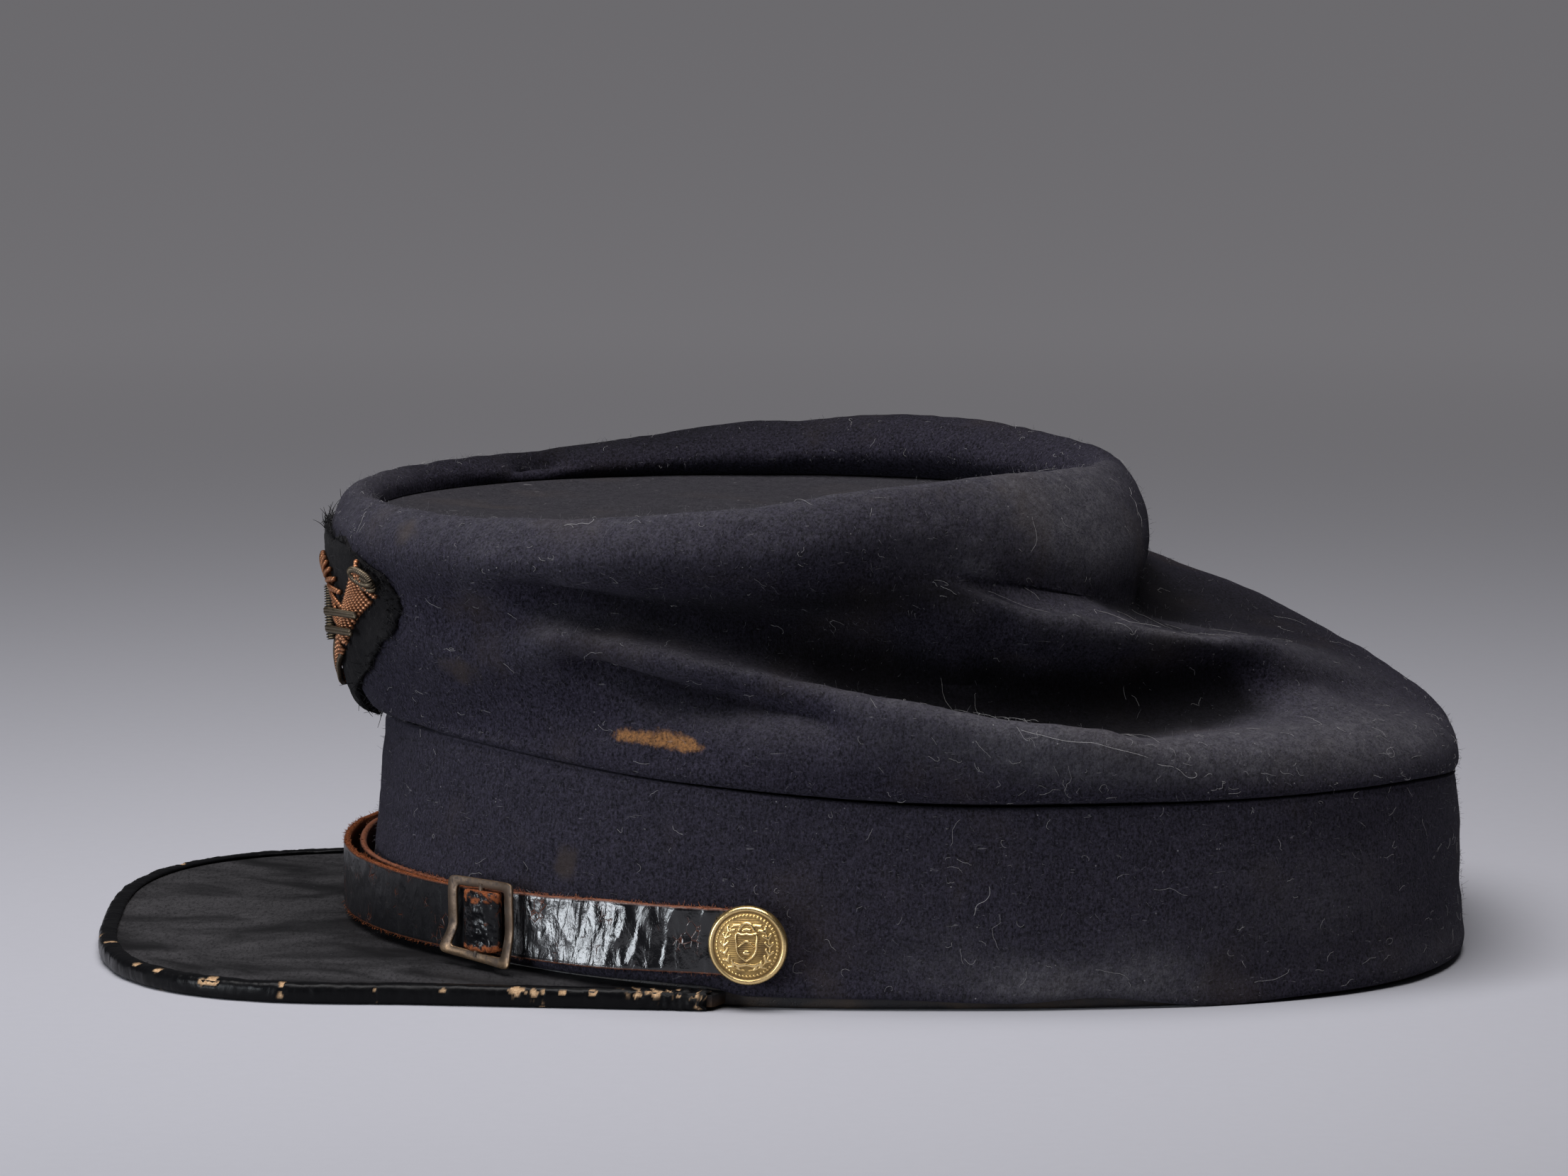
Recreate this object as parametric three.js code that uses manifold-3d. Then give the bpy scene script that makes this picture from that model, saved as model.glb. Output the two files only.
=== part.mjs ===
// A wool forage cap (kepi) with a leather peak, lying on a table with its crown slumped into folds.
// Millimetres, +Z up, standing on z = 0. The peak points to -X, the wearer's left side faces -Y.
// Angles run round the cap in degrees: 0 is the front, 90 the left side, 180 the back, 270 the right.
import * as THREE from "three";
import { mergeVertices } from "three/addons/utils/BufferGeometryUtils.js";
import Module from "manifold-3d";

const wasm = await Module();
wasm.setup();

// ---- Driving dimensions ----
const GAP = 0.3; // between pieces that touch
const FULL_TURN = 360;

// Outline of the hat band, from the middle of the head opening.
const BAND = {
  hem: { front: 110, back: 108, width: 86.5 }, // reach of the hem and of the seam
  seam: { front: 106, back: 106, width: 84.5 },
  frontSquareness: 2.2, // exponents of the oval: 2 is an ellipse, more is squarer
  backSquareness: 2.8,
  thick: 2,
};

const CROWN = { thick: 1.6, columns: 72, rows: 21 };
// The stiff disc: its middle, radius and level, and how far it leans down to the right and the front.
const DISC = { middle: -38, radius: 69.4, thick: 2.4, level: 86, lean: 0.04, rise: 0.005 };
const SWEATBAND = { thick: 1.2, height: 27 };

const PEAK = {
  front: -163, // its front edge
  cornerX: -41, // its two rear corners
  shoulderX: -101, // where the round front ends and the sides begin
  shoulderWidth: 79.7,
  flare: 0.119, // how fast the sides spread towards the corners
  tipSquareness: 2.74,
  sideSquareness: 2.97,
  thick: 2.3,
  lift: 0.85, // underside of the leather's edge above the table
  dome: 2.4, // how much higher the leather is in front of the band
  cornerAngle: 65, // how far round the band it is sewn, to each side
};
const BINDING = { thick: 0.55, width: 3.6, height: 4 };

const STRAP = { width: 12.8, thick: 1.3 };
const BUCKLE = {
  angle: 36.7, width: 18.5, height: 17, bar: { side: 2.7, end: 1.8 }, thick: 0.9, barRadius: 0.7,
};
const BUTTON = { angle: 68.2, radius: 7.7, height: 13, shankRadius: 1.1 };

const CLOTH_TENSION = 0.16; // how closely the crown cloth keeps to its table, up to about 0.17

const BADGE = { thick: 0.7, clearance: 0.5, padding: 1.1 };

// Heights of the band's lower edge at some angles.
const HEM = [
  { angle: 0, height: 6 },
  { angle: 30, height: 5.5 },
  { angle: 54, height: 4.5 },
  { angle: 62, height: 4.1 },
  { angle: 68, height: 2.4 },
  { angle: 82, height: 2.2 },
  { angle: 101, height: 1.3 },
  { angle: 111, height: 2.2 },
  { angle: 125, height: 0 },
  { angle: 138, height: 0.8 },
  { angle: 165, height: 1.4 },
  { angle: 200, height: 1 },
  { angle: 235, height: 0.2 },
  { angle: 265, height: 1.8 },
  { angle: 292, height: 2.4 },
  { angle: 298, height: 4.1 },
  { angle: 306, height: 4.5 },
  { angle: 330, height: 5.5 },
  { angle: 360, height: 6 },
];

// Crown cloth, one row for each direction round the cap. Each pair is how far out from the ring's
// middle the cloth passes, and how high. The seam gives only a height: the band sets how far out it
// is. From bottom to top the rings are the lower bulge, the crest of the lower fold, the deep
// crease, the crest of the upper fold, the crease under the rim, the puffed rim, its top and the
// lip that hangs over the disc. The edge sewn to the disc follows under the lip.
const RING_MIDDLES = {
  belly: 0, shelf: -4, valley: -14, crest: -16, crease: -34, puff: -37, rim: -38, lip: -38,
};
const RINGS = Object.keys(RING_MIDDLES);
const SECTIONS = [
  { at: 0, seam: 45.8, belly: [110.5, 48], shelf: [108.5, 54], valley: [100, 60], crest: [99, 66],
    crease: [81.5, 73], puff: [80.5, 82], rim: [75, 90], lip: [70.5, 88.5] },
  { at: 30, seam: 47.2, belly: [102.5, 50], shelf: [101, 56], valley: [96, 62], crest: [95, 68],
    crease: [80.5, 74.5], puff: [81, 83], rim: [75, 90], lip: [70.5, 89.5] },
  { at: 60, seam: 42.8, belly: [91.5, 49.5], shelf: [87.5, 58.5], valley: [88, 66], crest: [82, 73],
    crease: [80, 78.5], puff: [82, 85], rim: [76, 91.5], lip: [70.5, 91] },
  { at: 90, seam: 39.4, belly: [86.8, 46], shelf: [86, 58], valley: [71, 61.5], crest: [71, 72.5],
    crease: [76.5, 80], puff: [82.5, 86.5], rim: [76.5, 95.5], lip: [70.5, 93] },
  { at: 120, seam: 39.2, belly: [94.5, 45], shelf: [92, 53.5], valley: [72, 54.5], crest: [78.5, 73],
    crease: [76, 80], puff: [82, 89], rim: [76, 99.5], lip: [70.5, 94.5] },
  { at: 150, seam: 39.2, belly: [107.5, 43.5], shelf: [104.5, 51], valley: [92, 55], crest: [93, 67.5],
    crease: [80, 69.5], puff: [85.5, 80.5], rim: [76.5, 98.5], lip: [70.5, 94] },
  { at: 180, seam: 34.8, belly: [106, 42], shelf: [105, 46.5], valley: [109, 50.5], crest: [93.5, 59.5],
    crease: [75.5, 65], puff: [84.5, 78.5], rim: [77.5, 95.5], lip: [70.5, 92.5] },
  { at: 210, seam: 36.6, belly: [107.5, 42], shelf: [105.5, 47.5], valley: [102, 55], crest: [89.5, 65.5],
    crease: [86, 74], puff: [85, 83], rim: [76.5, 97], lip: [66.5, 90.5] },
  { at: 240, seam: 37, belly: [94, 42], shelf: [92, 49], valley: [80, 58], crest: [80, 66.5],
    crease: [80, 75], puff: [83.5, 84], rim: [76.5, 97], lip: [64.5, 90] },
  { at: 270, seam: 37.6, belly: [87, 43], shelf: [85, 51], valley: [75, 58.5], crest: [75, 65],
    crease: [77, 71.5], puff: [82.5, 82], rim: [76, 94], lip: [65, 87.5] },
  { at: 300, seam: 41, belly: [92, 45], shelf: [90, 52.5], valley: [84, 59.5], crest: [83, 65.5],
    crease: [79.5, 72.5], puff: [82, 80.5], rim: [76, 90], lip: [68.5, 86.5] },
  { at: 330, seam: 45, belly: [102.5, 47], shelf: [101, 53], valley: [96, 59], crest: [95, 65],
    crease: [80.5, 72], puff: [81, 81], rim: [75, 89.6], lip: [70, 87.5] },
];

// Single folds and dents on top of the sections, one row each. A fold's spine runs through its
// points, each an angle and a ring number (0 is the seam, 9 the disc's edge). push lifts the cloth
// out, or in where it is negative, and width is how far from its spine a fold fades.
const FOLDS = [
  {
    name: "deep crease along the left side",
    spine: [[57, 4.7], [66, 4.1], [80, 3.6], [90, 3.25], [100, 3], [115, 2.9], [130, 3], [146, 3.25]],
    push: -4.5,
    width: 7,
  },
  {
    name: "ridge under the deep crease",
    spine: [[52, 3.4], [62, 3.2], [70, 2.85], [77, 2.6], [85, 2.2], [93, 1.95], [102, 1.8], [114, 1.75]],
    push: 2.4,
    width: 4.5,
  },
  {
    name: "pocket under the ridge",
    spine: [[54, 2.7], [60, 2.15], [70, 2], [77, 2]],
    push: -4.5,
    width: 4.8,
  },
  { name: "soft ridge over the temple", spine: [[56, 5.4], [52, 4.6], [49, 3.6]], push: 1.6, width: 7 },
  { name: "tuck beside the rear bulge", spine: [[128, 6.2], [127, 5.3], [122, 4.5]], push: -2.2, width: 6 },
  { name: "corner at the pocket's end", spine: [[152, 2.6], [154, 3.4]], push: 2, width: 6 },
  { name: "rear bulge", spine: [[139, 6.1], [146, 5.8], [154, 5.6]], push: 2, width: 11 },
  {
    name: "crease under the rear bulge",
    spine: [[124, 4.6], [140, 4.6], [158, 4.5]],
    push: -2.5,
    width: 4.5,
  },
  { name: "ridge behind the rear bulge", spine: [[120, 4], [134, 3.95], [150, 3.95]], push: 1.8, width: 4.5 },
  { name: "dent in the rim", spine: [[303, 7.8], [305, 8.1]], push: -3.2, width: 5.5 },
];

// ---- Smooth curves through tables ----
function hermite(a, b, c, d, t) {
  const m0 = (c - a) / 2;
  const m1 = (d - b) / 2;
  const t2 = t * t;
  const t3 = t2 * t;
  return b * (2 * t3 - 3 * t2 + 1) + m0 * (t3 - 2 * t2 + t) + c * (3 * t2 - 2 * t3) + m1 * (t3 - t2);
}

// A column of equally spaced rows round the cap, read smoothly at any angle.
function around(rows, angle) {
  const n = rows.length;
  const place = (((angle / FULL_TURN) % 1) + 1) % 1 * n;
  const i = Math.floor(place);
  const at = (k) => rows[(i + k + n) % n];
  return hermite(at(-1), at(0), at(1), at(2), place - i);
}

// A rounded curve that passes close by its stops and through the first and last of them.
function softCurve(stops, place) {
  const last = stops.length - 1;
  const controls = stops.map((p, i) => {
    if (i === 0 || i === last) return p;
    const bend = p.clone().multiplyScalar(2).sub(stops[i - 1]).sub(stops[i + 1]);
    return p.clone().addScaledVector(bend, CLOTH_TENSION);
  });
  controls.unshift(controls[0].clone().multiplyScalar(2).sub(controls[1]));
  controls.push(controls[last + 1].clone().multiplyScalar(2).sub(controls[last]));
  const i = Math.min(Math.floor(place), last - 1);
  const t = place - i;
  const weights = [(1 - t) ** 3, 3 * t ** 3 - 6 * t ** 2 + 4, -3 * t ** 3 + 3 * t ** 2 + 3 * t + 1, t ** 3];
  const sum = new THREE.Vector3();
  weights.forEach((w, k) => sum.addScaledVector(controls[i + k], w / 6));
  return sum;
}

const COLUMNS = { seam: SECTIONS.map((s) => s.seam) };
for (const ring of RINGS) {
  COLUMNS[ring] = { out: SECTIONS.map((s) => s[ring][0]), height: SECTIONS.map((s) => s[ring][1]) };
}

// Rows of { angle, ...values } at uneven angles, read with straight blends eased at the rows.
function between(rows, angle, key) {
  if (angle <= rows[0].angle) return rows[0][key];
  const next = rows.findIndex((r) => r.angle >= angle);
  if (next < 0) return rows[rows.length - 1][key];
  const a = rows[next - 1];
  const b = rows[next];
  const share = THREE.MathUtils.smoothstep(angle, a.angle, b.angle);
  return THREE.MathUtils.lerp(a[key], b[key], share);
}

// ---- Outline of the head opening ----
// Distance of the band's outside from its middle, in a direction, at a height.
function bandRadius(angle, height) {
  const turn = THREE.MathUtils.degToRad(angle);
  const end = Math.cos(turn) > 0 ? "front" : "back";
  const up = THREE.MathUtils.clamp(height / around(COLUMNS.seam, angle), 0, 1);
  const length = THREE.MathUtils.lerp(BAND.hem[end], BAND.seam[end], up);
  const width = THREE.MathUtils.lerp(BAND.hem.width, BAND.seam.width, up);
  const share = (1 - Math.cos(turn)) / 2;
  const n = THREE.MathUtils.lerp(BAND.frontSquareness, BAND.backSquareness, share);
  return (Math.abs(Math.cos(turn) / length) ** n + Math.abs(Math.sin(turn) / width) ** n) ** (-1 / n);
}

function polar(angle, out, height, middle = 0) {
  const turn = THREE.MathUtils.degToRad(angle);
  return new THREE.Vector3(middle - out * Math.cos(turn), -out * Math.sin(turn), height);
}

// A point at a distance off the band's outside, measured square to it.
function offBand(angle, height, off) {
  const step = 0.5;
  const here = polar(angle, bandRadius(angle, height), height);
  const ahead = polar(angle + step, bandRadius(angle + step, height), height);
  const behind = polar(angle - step, bandRadius(angle - step, height), height);
  const along = ahead.sub(behind).normalize();
  return here.add(new THREE.Vector3(-along.y, along.x, 0).multiplyScalar(-off));
}

// ---- Crown surface ----
const LAST_RING = RINGS.length + 1;
const ANGLE_TO_MM = 1.35; // length along the crown of one degree, and of one ring
const RING_TO_MM = 10;
const SPINE_STEPS = 24;

for (const fold of FOLDS) {
  const flat = fold.spine.map(([angle, ring]) => new THREE.Vector2(angle * ANGLE_TO_MM, ring * RING_TO_MM));
  fold.points = new THREE.SplineCurve(flat).getPoints(SPINE_STEPS);
}

function foldPush(angle, ring) {
  let push = 0;
  for (const fold of FOLDS) {
    let nearest = Infinity;
    for (const turn of [-FULL_TURN, 0, FULL_TURN]) {
      const here = new THREE.Vector2((angle + turn) * ANGLE_TO_MM, ring * RING_TO_MM);
      for (const p of fold.points) nearest = Math.min(nearest, here.distanceToSquared(p));
    }
    push += fold.push * Math.exp(-nearest / fold.width ** 2);
  }
  return push;
}

function discTop({ x, y }) {
  return DISC.level + DISC.rise * (x - DISC.middle) - DISC.lean * y;
}

function smoothCrown(angle, ring) {
  const seam = around(COLUMNS.seam, angle);
  const stops = [polar(angle, bandRadius(angle, seam) + 0.6, seam + GAP)];
  for (const name of RINGS) {
    const { out, height } = COLUMNS[name];
    stops.push(polar(angle, around(out, angle), around(height, angle), RING_MIDDLES[name]));
  }
  const edge = polar(angle, DISC.radius + GAP, 0, DISC.middle);
  stops.push(edge.setZ(discTop(edge)));
  return softCurve(stops, ring);
}

function squareTo(surface, angle, ring) {
  const around1 = surface(angle + 0.4, ring).sub(surface(angle - 0.4, ring));
  const low = Math.max(ring - 0.04, 0);
  const high = Math.min(ring + 0.04, LAST_RING);
  const up = surface(angle, high).sub(surface(angle, low));
  return around1.cross(up).normalize();
}

function crownPoint(angle, ring) {
  const place = smoothCrown(angle, ring);
  const push = foldPush(angle, ring);
  return Math.abs(push) < 1e-3 ? place : place.addScaledVector(squareTo(smoothCrown, angle, ring), push);
}

// ---- Closed solids from sections ----
function facingOut(geometry) {
  const at = geometry.attributes.position;
  const index = geometry.index.array;
  const [a, b, c] = [new THREE.Vector3(), new THREE.Vector3(), new THREE.Vector3()];
  let volume = 0;
  for (let i = 0; i < index.length; i += 3) {
    a.fromBufferAttribute(at, index[i]);
    b.fromBufferAttribute(at, index[i + 1]);
    c.fromBufferAttribute(at, index[i + 2]);
    volume += a.dot(b.cross(c));
  }
  if (volume < 0) {
    for (let i = 0; i < index.length; i += 3) [index[i], index[i + 1]] = [index[i + 1], index[i]];
  }
  geometry.computeVertexNormals();
  return geometry;
}

// Triangles over a flat section, from its outline's points.
function flatCap(outline) {
  const inOrder = !THREE.ShapeUtils.isClockWise(outline);
  return THREE.ShapeUtils.triangulateShape(outline, []).map(([a, b, c]) => (inOrder ? [a, b, c] : [a, c, b]));
}

// Triangles over the end of a sheet, whose section runs along one face and back along the other.
function sheetCap(loop) {
  const triangles = [];
  for (let k = 0; k < loop / 2 - 1; k++) {
    triangles.push([k, k + 1, loop - 2 - k], [k, loop - 2 - k, loop - 1 - k]);
  }
  return triangles;
}

// Joins equal sections, each a closed loop of points, in order. With no cap they close into a ring.
function loft(sections, cap = null) {
  const loop = sections[0].length;
  const spans = cap ? sections.length - 1 : sections.length;
  const index = [];
  for (let i = 0; i < spans; i++) {
    for (let k = 0; k < loop; k++) {
      const a = i * loop + k;
      const b = ((i + 1) % sections.length) * loop + k;
      const next = k + 1 === loop ? 1 - loop : 1;
      index.push(a, b, b + next, a, b + next, a + next);
    }
  }
  const last = (sections.length - 1) * loop;
  for (const [a, b, c] of cap ?? []) index.push(a, b, c, last + a, last + c, last + b);
  const geometry = new THREE.BufferGeometry();
  const places = sections.flat().flatMap((p) => p.toArray());
  geometry.setAttribute("position", new THREE.Float32BufferAttribute(places, 3));
  geometry.setIndex(index);
  return facingOut(geometry);
}

function toManifold(geometry) {
  const bare = geometry.clone();
  bare.deleteAttribute("normal");
  bare.deleteAttribute("uv");
  const merged = mergeVertices(bare, 1e-4);
  return new wasm.Manifold(
    new wasm.Mesh({
      numProp: 3,
      vertProperties: merged.attributes.position.array,
      triVerts: new Uint32Array(merged.index.array),
    }),
  );
}

function fromManifold(solid) {
  const made = solid.getMesh();
  const geometry = new THREE.BufferGeometry();
  geometry.setAttribute("position", new THREE.BufferAttribute(made.vertProperties, 3));
  geometry.setIndex(new THREE.BufferAttribute(made.triVerts, 1));
  geometry.computeVertexNormals();
  return geometry;
}

const cut = (geometry, tool) => fromManifold(toManifold(geometry).subtract(toManifold(tool)));
const join = (geometry, other) => fromManifold(toManifold(geometry).add(toManifold(other)));

// ---- Cloth ----
function crownSide() {
  const { columns, rows } = CROWN;
  const sections = [];
  for (let i = 0; i < columns; i++) {
    const angle = (i / columns) * FULL_TURN;
    const outside = [];
    const inside = [];
    for (let j = 0; j <= rows; j++) {
      const ring = (j / rows) * LAST_RING;
      const place = crownPoint(angle, ring);
      const out = squareTo(crownPoint, angle, ring);
      if (j === 0) out.setZ(0).normalize(); // cut level along the seam
      outside.push(place);
      inside.unshift(place.clone().addScaledVector(out, -CROWN.thick));
    }
    sections.push([...outside, ...inside]);
  }
  return loft(sections);
}

function crownTop() {
  const shape = new THREE.CylinderGeometry(DISC.radius, DISC.radius, DISC.thick, 72).rotateX(Math.PI / 2);
  shape.translate(DISC.middle, 0, -DISC.thick / 2);
  const at = shape.attributes.position;
  for (let i = 0; i < at.count; i++) {
    const lift = discTop({ x: at.getX(i), y: at.getY(i) });
    at.setZ(i, at.getZ(i) + lift);
  }
  return shape;
}

function bandSection(angle) {
  const hem = between(HEM, angle, "height");
  const seam = around(COLUMNS.seam, angle);
  const rows = 2;
  const outside = [];
  const inside = [];
  for (let j = 0; j <= rows; j++) {
    const height = THREE.MathUtils.lerp(hem, seam, j / rows);
    outside.push(offBand(angle, height, 0));
    inside.unshift(offBand(angle, height, -BAND.thick));
  }
  return [...outside, ...inside];
}

function hatBand() {
  const columns = 72;
  return loft(Array.from({ length: columns }, (_, i) => bandSection((i / columns) * FULL_TURN)));
}

function sweatband() {
  const columns = 60;
  const outer = -BAND.thick - GAP - 0.1;
  const inner = outer - SWEATBAND.thick;
  const top = SWEATBAND.height;
  const section = (angle) => [
    offBand(angle, 0, outer),
    offBand(angle, top, outer),
    offBand(angle, top, inner),
    offBand(angle, 0, inner),
  ];
  return loft(Array.from({ length: columns }, (_, i) => section((i / columns) * FULL_TURN)));
}

// ---- Peak ----
// Half of the peak's outer edge, from the middle of the front to a rear corner.
function peakEdge(share, side) {
  const roundPart = 0.7;
  if (share > roundPart) {
    const x = THREE.MathUtils.lerp(PEAK.shoulderX, PEAK.cornerX, (share - roundPart) / (1 - roundPart));
    return new THREE.Vector2(x, side * (PEAK.shoulderWidth + PEAK.flare * (x - PEAK.shoulderX)));
  }
  const turn = (share / roundPart) * (Math.PI / 2);
  const x = PEAK.shoulderX - (PEAK.shoulderX - PEAK.front) * Math.cos(turn) ** (2 / PEAK.tipSquareness);
  return new THREE.Vector2(x, side * PEAK.shoulderWidth * Math.sin(turn) ** (2 / PEAK.sideSquareness));
}

function peakOutline() {
  const steps = 26;
  const left = Array.from({ length: steps }, (_, i) => peakEdge((i + 1) / steps, -1));
  const right = Array.from({ length: steps }, (_, i) => peakEdge((i + 1) / steps, 1));
  return [...left.reverse(), peakEdge(0, 1), ...right];
}

// Moves a plan line sideways, to the right of its direction.
function offset(line, by) {
  return line.map((p, i) => {
    const a = line[Math.max(i - 1, 0)];
    const b = line[Math.min(i + 1, line.length - 1)];
    const along = b.clone().sub(a).normalize();
    return new THREE.Vector2(p.x + along.y * by, p.y - along.x * by);
  });
}

// The leather rises a little from its edge to where it is sewn under the band.
function peakRise(share, side) {
  return PEAK.dome * (1 - share) ** 1.6 * (1 - (side / PEAK.cornerAngle) ** 2);
}

function peak() {
  const edge = offset(peakOutline(), BINDING.thick + GAP);
  const steps = 5;
  const sections = edge.map((outer, i) => {
    const side = PEAK.cornerAngle * ((2 * i) / (edge.length - 1) - 1);
    const inner = offBand(-side, 3, -BAND.thick + 0.1);
    const top = [];
    const bottom = [];
    for (let j = 0; j <= steps; j++) {
      const share = j / steps;
      const lift = PEAK.lift + peakRise(Math.min(share / 0.93, 1), side);
      const x = THREE.MathUtils.lerp(inner.x, outer.x, share);
      const y = THREE.MathUtils.lerp(inner.y, outer.y, share);
      top.push(new THREE.Vector3(x, y, lift + PEAK.thick));
      bottom.unshift(new THREE.Vector3(x, y, lift));
    }
    return [...top, ...bottom];
  });
  return loft(sections, sheetCap(2 * steps + 2));
}

function peakBinding() {
  const { thick, width, height } = BINDING;
  const round = 0.7;
  // Distance in from the edge, and height, round a C that grips the leather.
  const grip = [
    [0, round], [round, 0], [width, 0], [width, thick], [thick, thick],
    [thick, height - thick], [width, height - thick], [width, height], [round, height], [0, height - round],
  ].map(([x, y]) => new THREE.Vector2(x, y));
  const edge = peakOutline();
  const lines = grip.map((g) => offset(edge, g.x));
  const sections = edge.map((_, i) =>
    grip.map((g, k) => new THREE.Vector3(lines[k][i].x, lines[k][i].y, g.y)),
  );
  return loft(sections, flatCap(grip));
}

// ---- Chin strap ----
// How far the two layers of the strap stand off the band, and how high their lower edges lie.
const STRAP_RUN = [
  { angle: -72, under: 0.5, front: 2.2, low: 6.6 },
  { angle: -40, under: 0.7, front: 2.4, low: 6.8 },
  { angle: 0, under: 1.4, front: 4.6, low: 7 },
  { angle: 34, under: 0.6, front: 2.2, low: 7 },
  { angle: 55, under: 0.5, front: 2.2, low: 7.1 },
  { angle: 72, under: 0.5, front: 2.2, low: 6.6 },
];
const STRAP_END = 70; // angle just past the middle of a button

function strapSection(angle, layer) {
  const off = between(STRAP_RUN, angle, layer);
  const low = between(STRAP_RUN, angle, "low");
  return [
    [off, low],
    [off + STRAP.thick, low],
    [off + STRAP.thick, low + STRAP.width],
    [off, low + STRAP.width],
  ].map(([out, z]) => offBand(angle, STRAP.width, out).setZ(z));
}

function strapUnder() {
  const sections = [];
  for (let angle = -STRAP_END; angle <= STRAP_END; angle += 4) sections.push(strapSection(angle, "under"));
  return loft(sections, sheetCap(4));
}

const LOOP = { reach: 4.6, over: 1.1 }; // half length of the loop, and leather over the bar

// Turn about the upright that makes +Y face into the band at an angle.
function facing(angle) {
  const inward = offBand(angle, STRAP.width, 0).sub(offBand(angle, STRAP.width, 1));
  return Math.atan2(-inward.x, inward.y);
}

// The outer layer ends in a loop sewn round the buckle's middle bar.
function strapFront() {
  const sections = [];
  const loopStart = BUCKLE.angle - 1.6;
  for (let angle = -STRAP_END; angle < loopStart; angle += 4) sections.push(strapSection(angle, "front"));
  sections.push(strapSection(loopStart, "front"));
  const strap = loft(sections, sheetCap(4));
  const low = between(STRAP_RUN, BUCKLE.angle, "low");
  const middle = offBand(BUCKLE.angle, STRAP.width, buckleOff());
  const eye = (reach, deep, from, length) =>
    new THREE.CylinderGeometry(1, 1, length, 24)
      .rotateX(Math.PI / 2)
      .scale(reach, deep, 1)
      .rotateZ(facing(BUCKLE.angle))
      .translate(middle.x, middle.y, from + length / 2);
  const bore = BUCKLE.barRadius + GAP;
  const loop = eye(LOOP.reach, bore + LOOP.over, low, STRAP.width);
  return cut(join(strap, loop), eye(bore, bore, low - 1, STRAP.width + 2));
}

// Distance of the middle of the buckle's plate from the band.
function buckleOff() {
  return between(STRAP_RUN, BUCKLE.angle, "front") + STRAP.thick + GAP + BUCKLE.thick / 2;
}

function strapBuckle() {
  const { width, height, bar, thick, barRadius } = BUCKLE;
  const rounded = (Path, w, h, r) => {
    const path = new Path();
    path.moveTo(-w / 2 + r, -h / 2);
    path.lineTo(w / 2 - r, -h / 2);
    path.absarc(w / 2 - r, -h / 2 + r, r, -Math.PI / 2, 0);
    path.lineTo(w / 2, h / 2 - r);
    path.absarc(w / 2 - r, h / 2 - r, r, 0, Math.PI / 2);
    path.lineTo(-w / 2 + r, h / 2);
    path.absarc(-w / 2 + r, h / 2 - r, r, Math.PI / 2, Math.PI);
    path.lineTo(-w / 2, -h / 2 + r);
    path.absarc(-w / 2 + r, -h / 2 + r, r, Math.PI, Math.PI * 1.5);
    return path;
  };
  const plate = rounded(THREE.Shape, width, height, 1.8);
  plate.holes.push(rounded(THREE.Path, width - 2 * bar.side, height - 2 * bar.end, 1));
  const frame = new THREE.ExtrudeGeometry(plate, { depth: thick, bevelEnabled: false, curveSegments: 5 });
  frame.translate(0, 0, -thick / 2);
  const pin = new THREE.CylinderGeometry(barRadius, barRadius, height - bar.end, 12);
  return join(frame, pin);
}

// Stands a piece made in the XY plane, facing +Z, upright on the band, facing out.
function standOnBand(mesh, angle, height, off) {
  const place = offBand(angle, STRAP.width, off).setZ(height);
  const out = place.clone().sub(offBand(angle, STRAP.width, off - 1).setZ(height)).normalize();
  const up = new THREE.Vector3(0, 0, 1);
  mesh.setRotationFromMatrix(new THREE.Matrix4().makeBasis(up.clone().cross(out), up, out));
  mesh.position.copy(place);
}

// ---- Buttons ----
// Turned about its own axis: rolled rim, sunk ring and a low domed face, with a short shank behind.
function button(shankLength) {
  const { radius, shankRadius } = BUTTON;
  const profile = [
    [0, -shankLength], [shankRadius, -shankLength], [shankRadius, 0], [radius - 0.8, 0],
    [radius, 0.9], [radius - 0.1, 1.7], [radius - 0.6, 2.1], [radius - 1.1, 1.8],
    [radius - 1.4, 1.6], [radius - 3.4, 2.3], [radius - 5.6, 2.7], [0, 2.8],
  ].map(([r, z]) => new THREE.Vector2(r, z));
  return new THREE.LatheGeometry(profile, 40).rotateX(Math.PI / 2);
}

// Holes for a shank through the pieces between the button and the inside of the band.
function drilled(geometry, sides) {
  let made = geometry;
  for (const side of sides) {
    const radius = BUTTON.shankRadius + GAP;
    const drill = new THREE.Mesh(new THREE.CylinderGeometry(radius, radius, 14, 14).rotateX(Math.PI / 2));
    standOnBand(drill, side * BUTTON.angle, BUTTON.height, 1);
    drill.updateMatrix();
    made = cut(made, drill.geometry.applyMatrix4(drill.matrix));
  }
  return made;
}

// ---- Badge on the front of the crown ----
const BADGE_MM_TO_ANGLE = 0.715; // degrees round the front for each millimetre across

// A point on the front of the crown: across to the left, at a height, standing proud of the cloth.
function frontPoint(across, height, proud) {
  const angle = across * BADGE_MM_TO_ANGLE;
  let [low, high] = [0, 6.5];
  for (let i = 0; i < 24; i++) {
    const middle = (low + high) / 2;
    if (crownPoint(angle, middle).z < height) low = middle;
    else high = middle;
  }
  return crownPoint(angle, low).addScaledVector(squareTo(crownPoint, angle, low), proud);
}

// Half width of the patch's ragged cloth at a share of its height.
const PATCH = { low: 46.5, high: 82.6, halfWidths: [5, 8.5, 15.5, 24.5, 32, 38, 43, 44, 29] };

// How far the patch's padding stands out, most along its lower middle.
function padding(across, height) {
  const fade = (x) => Math.max(0, 1 - x * x) ** 2;
  return BADGE.padding * fade(across / 30) * fade((height - 54) / 17);
}

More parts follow.
